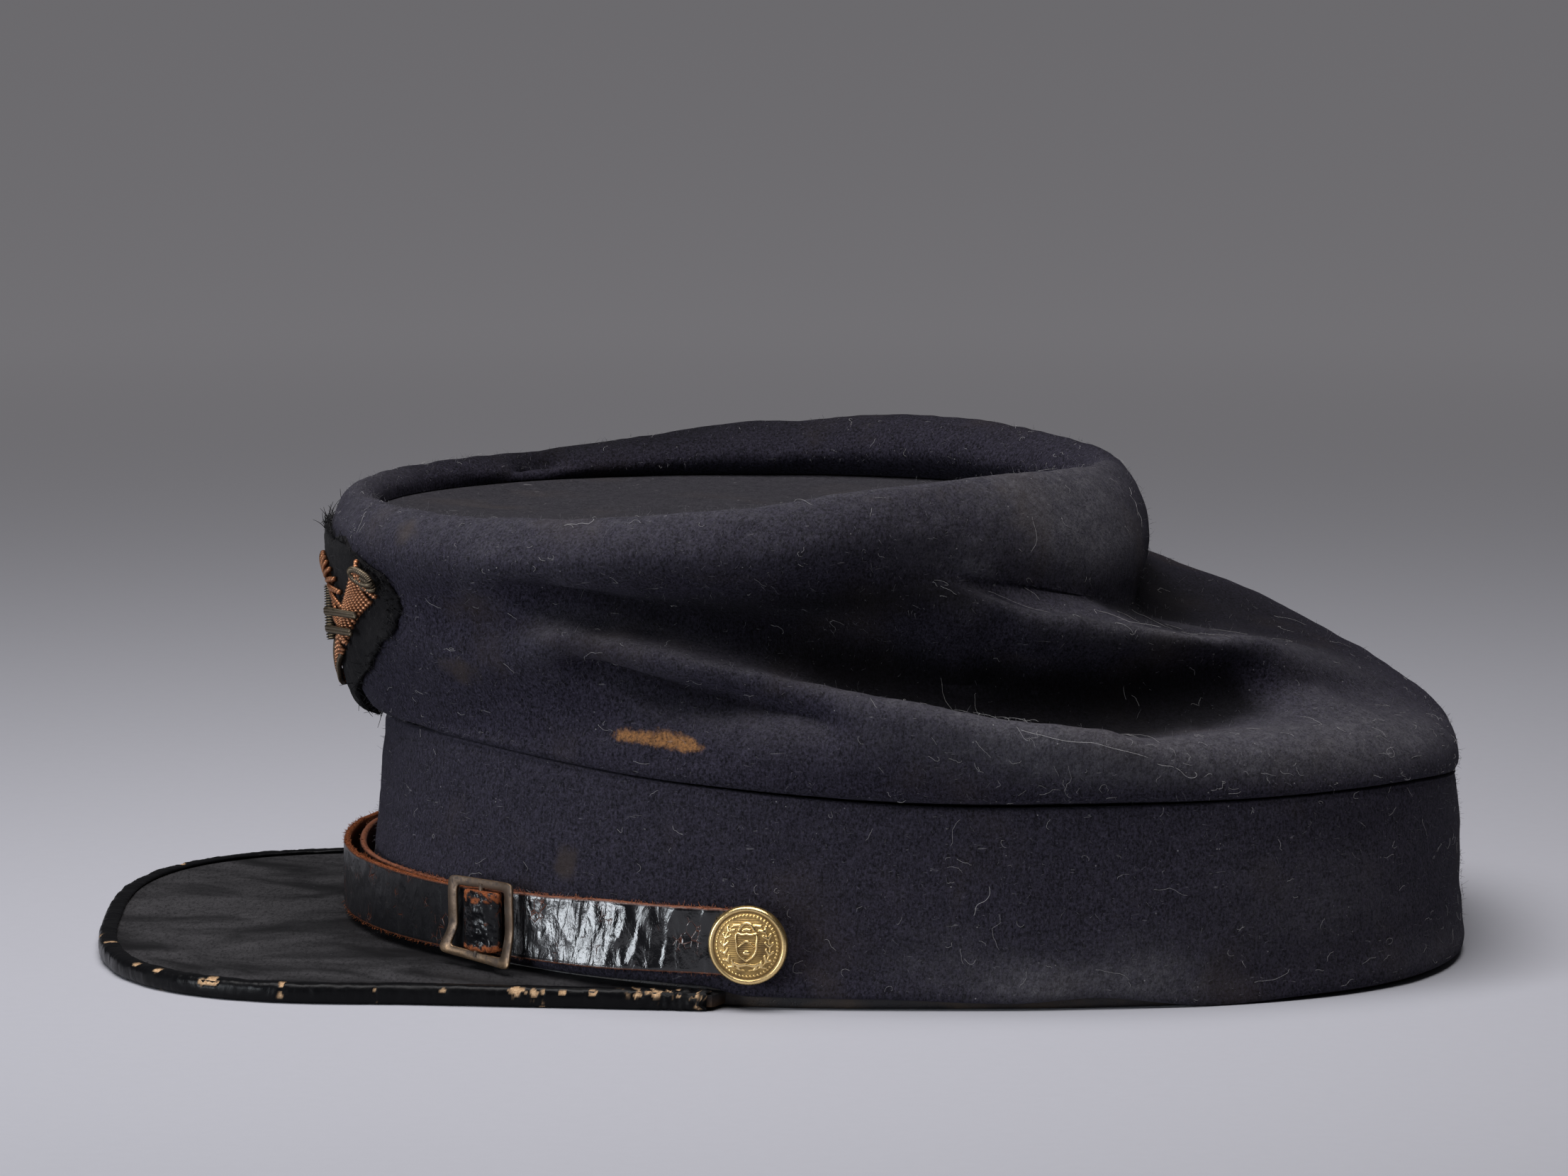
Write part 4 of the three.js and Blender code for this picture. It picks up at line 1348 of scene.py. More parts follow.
@dataclass
class HatBand:
    """The upright wool band that fits the head, turned under at its lower edge."""

    form: CapForm
    thick: float = 2.0
    columns: int = 560
    rows: int = 46
    inner_rows: int = 8
    round_over: float = 1.0
    drag: float = 0.5
    groove: float = 0.6
    roll: float = 0.25
    fade: tuple[Stain, ...] = (
        Stain(45.5, 26, 1.9, 4.2, 1.2), Stain(115, 20, 12, 9, 0.35), Stain(200, 22, 14, 10, 0.5),
        Stain(290, 24, 10, 8, 0.5),
    )
    dust: tuple[Stain, ...] = (
        Stain(104, 5, 7, 5, 1.0), Stain(117, 6, 6, 6, 0.9), Stain(92, 10, 7, 6, 0.35),
        Stain(138, 18, 12, 10, 0.35), Stain(230, 6, 22, 7, 0.7), Stain(160, 5, 14, 5, 0.4),
    )

    def outline(self, angle: Array) -> tuple[Array, Array]:
        """Lays out a section for each angle.

        Args:
            angle: Angles in degrees.

        Returns:
            Distance off the band's outside and height, by angle and place round the section.
        """
        hem = between(HEM, angle, "height")[:, None]
        seam = self.form.seam_height(angle)[:, None]
        r, t = self.round_over, self.thick
        up = np.linspace(0, 1, self.rows)[None]
        down = np.linspace(1, 0, self.inner_rows)[None]
        corner = np.array([[-0.12, -0.45, 0.5], [-t / 2, -0.9, 0], [-t + 0.12, -0.45, 0.5]])
        outer = hem + r + (seam - hem - 2 * r) * up
        inner = hem + r + (seam - hem - 2 * r) * down
        over = np.broadcast_to(seam - r + np.array([0.55, 0.9, 0.55]), (len(angle), 3))
        under = np.broadcast_to(hem + np.array([0.3, 0.0, 0.3]), (len(angle), 3))
        height = np.concatenate([outer, over, inner, under], axis=1)
        ones = np.ones((len(angle), 1))
        off = [0 * outer, ones * corner[:, 0], 0 * inner - t, ones * corner[::-1, 0]]
        return np.concatenate(off, axis=1), height

    def body(self) -> Body:
        """Skins the band, with its drag lines, dust and faded spots.

        Returns:
            The closed band.
        """
        angle = round_cap(self.columns)
        off, height = self.outline(angle)
        grid_angle = np.broadcast_to(angle[:, None], off.shape)
        flat = self.form.off_band(grid_angle, height, np.zeros_like(off))
        drag = self.drag * ripple(flat * (1, 1, 3.2), 42, 3, 6)
        drag += 0.12 * ripple(flat * (1, 1, 1.6), 9, 3, 7)
        outer = np.zeros(off.shape[1])
        outer[: self.rows] = 1
        below_seam = self.form.seam_height(angle)[:, None] - height
        groove = self.groove * hump(below_seam, 1.1)
        rolled = self.roll * hump(height - between(HEM, angle, "height")[:, None] - 2.2, 1.6)
        points = self.form.off_band(grid_angle, height, off + outer * (drag - groove + rolled))
        body = loft(points, Ends.RING)
        worn = spots(self.fade, grid_angle, height)
        dusty = np.clip(0.12 + spots(self.dust, grid_angle, height), 0, 1)
        return body.tinted(fade=worn.ravel(), dust=dusty.ravel(), rust=0.0)

    def make(self, wool: Material) -> Pieces:
        """Makes the band."""
        return [handed_over(self.body().to_object("band_cloth", wool), "wool", "hat_band")]


@dataclass
class Sweatband:
    """The leather lining of the band, whipped to its lower edge."""

    form: CapForm
    thick: float = 1.2
    inset: float = 2.4
    height: float = 27
    columns: int = 420
    stitches: int = 150

    def body(self) -> Body:
        """Skins the leather, its top edge a little wavy.

        Returns:
            The closed lining.
        """
        angle = round_cap(self.columns)
        r = self.thick / 2
        up = np.linspace(r, self.height - r, 18)
        off = np.concatenate([0 * up, [-0.18, -r, -1.02], 0 * up - self.thick, [-1.02, -r, -0.18]])
        off -= self.inset
        top = [self.height - 0.25, self.height, self.height - 0.25]
        height = np.concatenate([up, top, up[::-1], [0.25, 0.0, 0.25]])
        grid_angle, grid_off = np.meshgrid(angle, off, indexing="ij")
        grid_height = np.broadcast_to(height, grid_off.shape)
        flat = self.form.off_band(grid_angle, grid_height, grid_off)
        high = smooth_step(6, self.height, grid_height)
        wavy = -0.9 * high * (0.4 + 0.6 * np.abs(ripple(flat * (1, 1, 0.3), 24, 3, 8)))
        points = self.form.off_band(grid_angle, grid_height, grid_off + wavy)
        points[..., 2] += 0.8 * high * (ripple(flat * (1, 1, 0), 38, 2, 9) - 0.5)
        return loft(points, Ends.RING)

    def stitching(self) -> Body:
        """Makes the whip stitches along the lower edge, inside.

        Returns:
            The stitches.
        """
        angle = (np.arange(self.stitches) + 0.5) / self.stitches * FULL_TURN
        hop = np.linspace(0, 1, 6)
        at = angle[:, None] + hop[None] * 1.1
        height = 2.0 + 2.6 * hop[None] + 0 * at
        off = -3.6 - 0.32 * np.sin(np.pi * hop)[None] + 0 * at
        paths = self.form.off_band(at, height, off)
        return tubes(paths, np.full(at.shape, 0.2), 6).tinted(pale=0.55)

    def make(self, leather: Material, thread: Material) -> Pieces:
        """Makes the sweatband and its stitches.

        Args:
            leather: Finish of the lining.
            thread: Finish of the stitches.

        Returns:
            The pieces.
        """
        lining = self.body().to_object("sweatband_leather", leather)
        stitches = self.stitching().to_object("sweatband_stitches", thread)
        return [
            handed_over(lining, "sweat_leather", "sweatband"),
            handed_over(stitches, "sweat_leather"),
        ]


# ---- Peak ----
@dataclass(frozen=True)
class Chip:
    """A place on the binding where the lacquer has flaked off, in plan, with its size."""

    x: float
    y: float
    size: float


@dataclass
class Peak:
    """The leather peak sewn under the front of the band, and the rolled binding round its edge."""

    form: CapForm
    front: float = -163
    corner_x: float = -41
    shoulder_x: float = -101
    shoulder_width: float = 79.7
    flare: float = 0.119
    tip_squareness: float = 2.74
    side_squareness: float = 2.97
    thick: float = 2.3
    lift: float = 0.85
    dome: float = 2.4
    corner_angle: float = 65
    round_part: float = 0.7
    binding_thick: float = 0.55
    binding_width: float = 3.6
    binding_height: float = 4.0
    columns: int = 420
    rows: int = 46
    binding_columns: int = 1300
    chips: tuple[Chip, ...] = (
        Chip(-162.5, -22, 1.7), Chip(-159, -33, 1.5), Chip(-152.6, -56, 1.1), Chip(-148, -63, 1.4),
        Chip(-137.5, -72, 1.9), Chip(-123.4, -77, 1.1), Chip(-105.5, -80, 0.8), Chip(-92.6, -81, 1.0),
        Chip(-88.6, -81.5, 0.7), Chip(-79, -82.3, 1.5), Chip(-75.5, -82.6, 1.9), Chip(-73, -82.9, 1.2),
        Chip(-69.6, -83.3, 0.8), Chip(-63.8, -84, 0.9), Chip(-55, -85.3, 1.0), Chip(-47.5, -86, 0.9),
        Chip(-51, -85.7, 1.4), Chip(-43.6, -86.4, 1.7), Chip(-163, 18, 1.6), Chip(-152, 58, 2.0),
        Chip(-128, 77, 1.6), Chip(-84, 82, 1.8), Chip(-58, 85, 1.6), Chip(-45, 86.5, 2.4),
    )

    def edge(self, share: Array) -> Array:
        """Finds the outer edge in plan.

        Args:
            share: From -1 at the left corner by way of the front to 1 at the right one.

        Returns:
            A point for each share.
        """
        side = np.sign(share)
        share = np.abs(share)
        turn = np.minimum(share / self.round_part, 1) * np.pi / 2
        bow = np.cos(turn).clip(0) ** (2 / self.tip_squareness)
        round_x = self.shoulder_x - (self.shoulder_x - self.front) * bow
        round_y = self.shoulder_width * np.sin(turn) ** (2 / self.side_squareness)
        beyond = np.clip((share - self.round_part) / (1 - self.round_part), 0, 1)
        side_x = self.shoulder_x + (self.corner_x - self.shoulder_x) * beyond
        side_y = self.shoulder_width + self.flare * (side_x - self.shoulder_x)
        far = share > self.round_part
        return np.stack([np.where(far, side_x, round_x), side * np.where(far, side_y, round_y)], -1)

    def outline(self, count: int) -> tuple[Array, Array]:
        """Spaces points evenly along the outer edge.

        Args:
            count: How many points.

        Returns:
            The points, and for each the angle round the band where its line across the peak begins.
        """
        share = np.linspace(-1, 1, 4001)
        line = self.edge(share)
        run = np.concatenate([[0], np.cumsum(np.linalg.norm(np.diff(line, axis=0), axis=1))])
        even = np.interp(np.linspace(0, run[-1], count), run, share)
        return self.edge(even), -self.corner_angle * even

    @staticmethod
    def inward(line: Array, by: Union[float, Array]) -> Array:
        """Moves a plan line in from the edge."""
        along = unit(np.gradient(line, axis=0))
        return line + np.stack([along[:, 1], -along[:, 0]], -1) * np.asarray(by, float).reshape(-1, 1)

    def leather(self) -> Body:
        """Skins the leather, gently wavy and domed in front of the band.

        Returns:
            The closed leather.
        """
        line, angle = self.outline(self.columns)
        outer = self.inward(line, self.binding_thick + GAP)
        inner = self.form.off_band(angle, 3.0, -1.9)[:, :2]
        share = np.linspace(0, 1, self.rows)[None, :, None]
        plan = inner[:, None] + (outer - inner)[:, None] * share
        flat_share = share[..., 0]
        to_front = 1 - (angle[:, None] / self.corner_angle) ** 2
        level = self.lift + self.dome * (1 - np.minimum(flat_share / 0.93, 1)) ** 1.6 * to_front
        low = np.concatenate([plan, level[..., None]], -1)
        free = smooth_step(0.96, 0.8, flat_share) * smooth_step(0, 0.12, flat_share)
        wavy = 0.30 * ripple(low, 34, 2, 10) + 0.10 * ripple(low, 8, 3, 11)
        low[..., 2] += np.maximum(wavy, -0.3) * free
        high = low + (0, 0, self.thick)
        high[..., 2] += free * 0.05 * ripple(high, 2.5, 2, 12)
        body = loft(np.concatenate([high, low[:, ::-1]], axis=1), Ends.SHEET)
        under = np.concatenate([np.zeros(low.shape[:2]), np.ones(low.shape[:2])], axis=1)
        return body.tinted(under=under.ravel())

    def binding(self) -> Body:
        """Skins the rolled binding, a C that grips the leather, wrinkled, chipped and worn.

        Returns:
            The closed binding.
        """
        w, h, t = self.binding_width, self.binding_height, self.binding_thick
        outer = [
            (w, 0.1), (w - 0.8, 0), (2.2, 0), (1.5, 0), (0.95, 0.08), (0.55, 0.25), (0.28, 0.55),
            (0.1, 0.95), (0, 1.45), (0, 2.0), (0, 2.55), (0.1, 3.05), (0.28, 3.45), (0.55, 3.75),
            (0.95, 3.92), (1.5, h), (2.1, h), (2.7, h - 0.02), (w - 0.35, h - 0.1), (w, h - 0.3),
        ]
        inside = [(w - 0.05, h - t), (t, h - t), (t, t), (w - 0.05, t)]
        profile = np.array(outer + inside)
        shown = np.array([1.0] * len(outer) + [0.0] * len(inside))
        line, _ = self.outline(self.binding_columns)
        rows = []
        for by, level in profile:
            rows.append(np.concatenate([self.inward(line, by), np.full((len(line), 1), level)], 1))
        points = np.stack(rows, 1)
        along = unit(np.gradient(line, axis=0))
        side = np.stack([along[:, 1], -along[:, 0], 0 * along[:, 0]], -1)
        middle = np.array([1.6, h / 2])
        away = unit(profile - middle)
        out = side[:, None] * away[None, :, :1] + np.array([0, 0, 1.0]) * away[None, :, 1:]
        bare = self.chipped(points)
        wrinkled = 0.16 * ripple(points, 5.5, 3, 13) + 0.07 * ripple(points, 1.3, 2, 14)
        crumbled = self.crumbled(points, -50)
        rough = crumbled * (0.7 * ripple(points, 1.9, 3, 15) - 0.15)
        push = wrinkled + rough - bare * (0.26 - 0.2 * ripple(points, 0.9, 2, 16))
        low_side = points[..., 2] < 0.3
        push = np.where(low_side, np.minimum(push, 0) * 0.3, push)
        points = points + out * (push * shown)[..., None]
        end = smooth_step(-44.5, -41, points[..., 0])
        points[..., 0] -= end * (1.1 + 1.6 * ripple(points * (0, 1, 1), 1.6, 2, 51))
        points[..., 2] = np.maximum(points[..., 2], 0.0)
        body = loft(points, Ends.FLAT)
        dull = np.clip(0.1 + 0.6 * crumbled + 0.5 * ripple(points, 12, 3, 17), 0, 1)
        return body.tinted(bare=(bare * shown).ravel(), dull=dull.ravel())

    def chipped(self, points: Array) -> Array:
        """Reads where the lacquer is gone.

        Args:
            points: Points of the binding.

        Returns:
            From 0 to 1 at each.
        """
        strength = np.zeros(points.shape[:2])
        for chip in self.chips:
            away = np.hypot(points[..., 0] - chip.x, points[..., 1] - chip.y)
            strength = np.maximum(strength, hump(away, chip.size))
        flakes = ripple(points, 1.9, 3, 18)
        upper = smooth_step(2.2, 3.2, points[..., 2])
        front = smooth_step(-120, -150, points[..., 0])
        worn = 0.35 * (ripple(points, 4, 3, 19) + 0.1) * upper * front
        near = strength * (0.25 + 0.6 * upper) + flakes * 0.7 * smooth_step(0.05, 0.3, strength) + worn
        cracks = smooth_step(0.1, 0.03, np.abs(ripple(points * (1, 1, 0.7), 3.6, 2, 60)))
        return np.maximum(smooth_step(0.55, 0.68, near), cracks * self.crumbled(points, -52) * upper)

    @staticmethod
    def crumbled(points: Array, full: float) -> Array:
        """Reads how near points are to the crumbled left end, which is 1 from X = full on."""
        return smooth_step(-60, full, points[..., 0]) * smooth_step(0, -40, points[..., 1])

    def make(self, enamel: Material, rolled: Material) -> Pieces:
        """Makes the peak and its binding.

        Args:
            enamel: Finish of the peak.
            rolled: Finish of the binding.

        Returns:
            The pieces.
        """
        leather = self.leather().to_object("peak_leather", enamel, 55)
        binding = self.binding().to_object("peak_edge_binding", rolled)
        return [
            handed_over(leather, "peak_leather", "peak"),
            handed_over(binding, "binding_leather", "peak_binding"),
        ]


# ---- Chin strap ----
@dataclass
class Mount:
    """A place on the band where a piece made flat, in X and Y facing +Z, stands facing out."""

    form: CapForm
    angle: float
    height: float
    off: float
    level: float = 12.8

    def place(self, points: Array) -> Array:
        """Moves points there.

        Args:
            points: Points of the flat piece, one in each row.

        Returns:
            The points on the cap.
        """
        here, out = self.form.band_frame(np.array([self.angle]), np.array([self.level]))
        origin = here[0] + out[0] * self.off
        origin[2] = self.height
        up = np.array([0, 0, 1.0])
        across = np.cross(up, out[0])
        return origin + points @ np.stack([across, up, out[0]])


@dataclass
class ChinStrap:
    """Two layers of lacquered strap round the front, the outer one looped round a buckle's bar."""

    form: CapForm
    width: float = 12.8
    thick: float = 1.3
    end_angle: float = 70
    loop_angle: float = 36.7
    loop_reach: float = 4.6
    loop_deep: float = 2.1
    loop_low: float = 0.95
    loop_top: float = 12.7
    lean: float = 2.2
    lean_angle: float = 51
    lean_reach: float = 9
    columns: int = 500

    def run(self, layer: str, start: float, stop: float, crinkle: float) -> Body:
        """Skins one layer from angle to angle.

        Args:
            layer: Name of its column in the strap's table.
            start: First angle.
            stop: Last angle.
            crinkle: How deeply its lacquer is crinkled, in millimetres.

        Returns:
            The layer, with its raw edges marked "bare".
        """
        angle = np.linspace(start, stop, int(self.columns * (stop - start) / (2 * self.end_angle)))
        off = between(STRAP_RUN, angle, layer)[:, None]
        low = between(STRAP_RUN, angle, "low")[:, None]
        w, t = self.width, self.thick
        face = np.linspace(0.45, w - 0.45, 30)
        back = np.linspace(w - 0.3, 0.3, 8)
        up = np.concatenate([face, [w - 0.12, w, w - 0.02], back, [0.02, 0, 0.12]])
        corner = [t - 0.1, t * 0.62, t * 0.25]
        outs = np.concatenate([0 * face + t, corner, 0 * back, corner[::-1]])
        shown = np.concatenate([0 * face + 1, [0.4, 0, 0], 0 * back, [0, 0, 0.4]])
        edge = np.concatenate([0 * face, [0.55, 1, 1], 0 * back + 0.8, [1, 1, 0.55]])
        grid_angle = np.broadcast_to(angle[:, None], (len(angle), len(up)))
        flat = self.form.off_band(grid_angle, np.full(grid_angle.shape, w), off + outs[None])
        flat[..., 2] = low + up[None]
        folds = ripple(flat * (1, 1, 0.55), 3.4, 3, 20)
        ridge = 1 - np.abs(ripple(flat * (1, 1, 0.4), 5.5, 2, 21)) * 2.4
        glossy = smooth_step(38, 44, grid_angle) * smooth_step(74, 66, grid_angle)
        strong = crinkle * (0.35 + 0.65 * glossy)
        push = shown * strong * (0.55 * folds + 0.5 * np.maximum(ridge, 0) ** 3)
        rag = (edge > 0.9) * 0.12 * ripple(flat, 1.2, 3, 22)
        bow = 0.22 * ripple(flat * (1, 1, 0), 16, 2, 23) * (up / w)
        lean = self.lean * hump(grid_angle - self.lean_angle, self.lean_reach) * (1 - up / w)
        proud = off + outs[None] + push + lean
        points = self.form.off_band(grid_angle, np.full(grid_angle.shape, w), proud)
        points[..., 2] = flat[..., 2] + rag + bow
        body = loft(points, Ends.FLAT)
        scuffed = 0.9 * smooth_step(0.5, 0.75, 0.5 + ripple(flat, 2.2, 3, 24) * 0.5) * (edge > 0.3)
        worn = np.maximum(edge[None], scuffed)
        dull = smooth_step(40, 36, grid_angle) * 0.6 + 0.3 * smooth_step(63, 70, grid_angle)
        return body.tinted(bare=(worn + 0 * grid_angle).ravel(), dull=dull.ravel())

    def fringe(self, layer: str, start: float, stop: float, count: int, seed: int) -> Body:
        """Makes short loose leather fibres along both raw edges of a layer.

        Args:
            layer: Name of its column in the strap's table.
            start: First angle.
            stop: Last angle.
            count: How many fibres.
            seed: Seed of their places.

        Returns:
            The fibres.
        """
        rng = np.random.default_rng(seed)
        angle = rng.uniform(start, stop, count)
        top = rng.random(count) < 0.6
        off = between(STRAP_RUN, angle, layer) + rng.uniform(0.1, self.thick, count)
        low = between(STRAP_RUN, angle, "low")
        height = low + np.where(top, self.width, 0)
        base = self.form.off_band(angle, np.full(count, self.width), off)
        base[:, 2] = height
        _, out = self.form.band_frame(angle, np.full(count, self.width))
        lean = out * rng.uniform(-0.3, 0.9, (count, 1)) + rng.normal(0, 0.6, (count, 3))
        lean[:, 2] = np.where(top, 1, -1) * rng.uniform(0.2, 1.0, count)
        length = rng.uniform(0.25, 0.8, (count, 1))
        step = np.linspace(0, 1, 4)[None, :, None]
        curl = rng.normal(0, 0.25, (count, 1, 3)) * step**2
        paths = base[:, None] + unit(lean)[:, None] * (length[:, None] * step) + curl * length[:, None]
        radii = np.broadcast_to(np.array([0.06, 0.05, 0.035, 0.015]), (count, 4))
        return tubes(paths, radii, 3).tinted(bare=1.0)

    def loop(self) -> Body:
        """Skins the end of the outer layer where it passes over the buckle's bar.

        Returns:
            The loop, with its ends marked "bare".
        """
        off = strap_at(self.loop_angle, "front") + self.thick + GAP + 0.45
        mount = Mount(self.form, self.loop_angle, strap_at(self.loop_angle, "low"), off)
        turn = full_circle(72)
        low_end, top_end = self.loop_low, self.loop_top
        middle = np.linspace(low_end + 0.5, top_end - 0.5, 40)
        up = np.concatenate([[low_end, low_end + 0.15], middle, [top_end - 0.15, top_end]])
        size = np.concatenate([[0.86, 0.95], np.ones(40), [0.95, 0.86]])
        x = self.loop_reach * np.cos(turn)[None] * size[:, None]
        z = self.loop_deep * np.sin(turn)[None] * size[:, None]
        y = np.broadcast_to(up[:, None], x.shape)
        flat = np.stack([x, y, z], -1)
        crease = 0.55 * ripple(flat * (1, 0.6, 1), 1.9, 3, 25) + 0.16 * ripple(flat, 0.7, 2, 26)
        creased = flat.copy()
        creased[..., 2] *= 1 + crease / self.loop_deep * (flat[..., 2] > -0.5)
        points = mount.place(creased.reshape(-1, 3))
        body = loft(points.reshape(*flat.shape), Ends.FLAT)
        tip = smooth_step(low_end + 2.2, low_end + 0.4, y)
        tip = np.maximum(tip, smooth_step(top_end - 3.4, top_end - 1.2, y))
        worn = smooth_step(0.42, 0.62, tip * 0.6 + 0.6 * ripple(flat, 1.4, 3, 27))
        return body.tinted(bare=worn.ravel(), dull=0.0)

    def make(self, lacquer: Material, duller: Material) -> Pieces:
        """Makes both layers of the strap.

        Args:
            lacquer: Finish of the glossy under layer.
            duller: Finish of the outer layer.

        Returns:
            The pieces.
        """
        under = self.run("under", -self.end_angle, self.end_angle, 0.42)
        under += self.fringe("under", 20, 68, 900, 31) + self.fringe("under", -68, 20, 260, 32)
        front = self.run("front", -self.end_angle, self.loop_angle - 1.2, 0.5) + self.loop()
        front += self.fringe("front", -10, 35, 1100, 33) + self.fringe("front", -68, 0, 260, 34)
        return [
            handed_over(under.to_object("strap_under_layer", lacquer), "strap_leather", "strap_under"),
            handed_over(front.to_object("strap_outer_layer", duller), "strap_leather", "strap_front"),
        ]


@dataclass
class Buckle:
    """A stamped brass frame, flat and thin, bent out of true, with a bar down its middle."""

    form: CapForm
    angle: float = 36.7
    width: float = 17.0
    height: float = 15.9
    side_bar: float = 2.2
    end_bar: float = 1.8
    thick: float = 0.62
    corner: float = 1.5
    middle_height: float = 7.0
    shift: float = -0.2
    splay: float = 1.5
    columns: int = 280

    def rectangle(self, half_x: float, half_y: float, corner: float) -> Array:
        """Draws a rounded rectangle with points that match from one size to another.

        Args:
            half_x: Half its width.
            half_y: Half its height.
            corner: How round its corners are.

        Returns:
            Its points.
        """
        turn = full_circle(self.columns)
        n = 2 + 2.2 * min(half_x, half_y) / max(corner, 0.5)
        radius = (np.abs(np.cos(turn)) ** n + np.abs(np.sin(turn)) ** n) ** (-1 / n)
        return np.stack([radius * np.cos(turn) * half_x, radius * np.sin(turn) * half_y], -1)

    def bent(self, points: Array) -> Array:
        """Bends the frame: its foot splays and stands out, and its upper edge tips in.

        Args:
            points: Points of the flat frame.

        Returns:
            The bent ones.
        """
        x, y, z = points.T
        foot = smooth_step(-1, -8, y)
        skew = x + foot * (0.09 * x - 0.7) - 0.03 * y
        curled = 0.35 * (x / 9) ** 2 * smooth_step(2, 8, np.abs(x))
        out = z + self.splay * foot + curled - 0.2 * smooth_step(4, 8, y)
        dented = 0.10 * ripple(points, 5, 2, 28)
        return np.stack([skew + dented + self.shift, y - 0.9 * foot * (x / 9), out + dented], -1)

    def body(self) -> Body:
        """Skins the frame and its bar.

        Returns:
            Both, on the strap.
        """
        outer = self.rectangle(self.width / 2, self.height / 2, self.corner)
        inner = self.rectangle(self.width / 2 - self.side_bar, self.height / 2 - self.end_bar, 0.9)
        share = np.array([0, 0.02, 0.07, 0.5, 0.93, 0.98, 1, 0.98, 0.93, 0.5, 0.07, 0.02])
        high = np.array([0, 0.8, 1, 1.04, 1, 0.8, 0, -0.8, -1, -1, -1, -0.8]) * self.thick / 2
        plan = outer[:, None] + (inner - outer)[:, None] * share[None, :, None]
        level = np.broadcast_to(high, plan.shape[:2])[..., None]
        ring = loft(np.concatenate([plan, level], -1), Ends.RING)
        on_edge = np.abs(np.abs(high) - 0.4 * self.thick) < 0.02
        rubbed = np.broadcast_to(np.where(on_edge, 1.0, 0.08), plan.shape[:2]).ravel()
        low_edge = smooth_step(-5, -7.4, ring.points[:, 1])
        patches = ripple(ring.points, 3, 2, 52) + 0.3
        bright = rubbed * (0.5 + 0.5 * low_edge) + 0.45 * low_edge * patches
        ring.tinted(bright=np.clip(bright, 0, 1), deep=0.12)
        up = np.linspace(-1, 1, 12) * (self.height / 2 - self.end_bar / 2)
        path = np.stack([0 * up, up, 0 * up], -1)[None]
        bar = tubes(path, np.full((1, 12), 0.6), 12).tinted(bright=0.2, deep=0.4)
        body = ring + bar
        off = strap_at(self.angle, "front") + ChinStrap.thick + GAP + 0.45
        height = strap_at(self.angle, "low") + self.middle_height
        body.points = Mount(self.form, self.angle, height, off).place(self.bent(body.points))
        return body

    def make(self, brass: Material) -> Pieces:
        """Makes the buckle."""
        frame_piece = self.body().to_object("buckle_frame", brass, 60)
        return [handed_over(frame_piece, "buckle_brass", "strap_buckle")]


# ---- Buttons ----
@dataclass(frozen=True)
class Stroke:
    """A raised line of a button's relief, through points in millimetres from the middle."""

    points: Line
    half_width: float = 0.28
    rise: float = 0.34


def mirrored(line: Line) -> Line:
    """Turns a line over from the right half to the left."""
    return tuple((-x, y) for x, y in line)


STEM: Line = ((0.5, -4.75), (2.0, -4.35), (3.5, -3.2), (4.35, -1.4), (4.4, 0.6), (3.8, 2.5), (2.7, 3.9))
RIBBON: Line = ((-2.6, -3.35), (-1.4, -3.75), (0, -3.55), (1.4, -3.75), (2.6, -3.35))
CREST: Line = ((-1.5, 3.2), (-0.9, 4.1), (0, 4.5), (0.9, 4.1), (1.5, 3.2))
SHIELD: Line = (
    (0, 2.5), (0.9, 2.3), (1.7, 2.55), (2.1, 2.1), (1.95, 0.6), (1.85, -0.7), (1.2, -1.9), (0, -2.8),
)


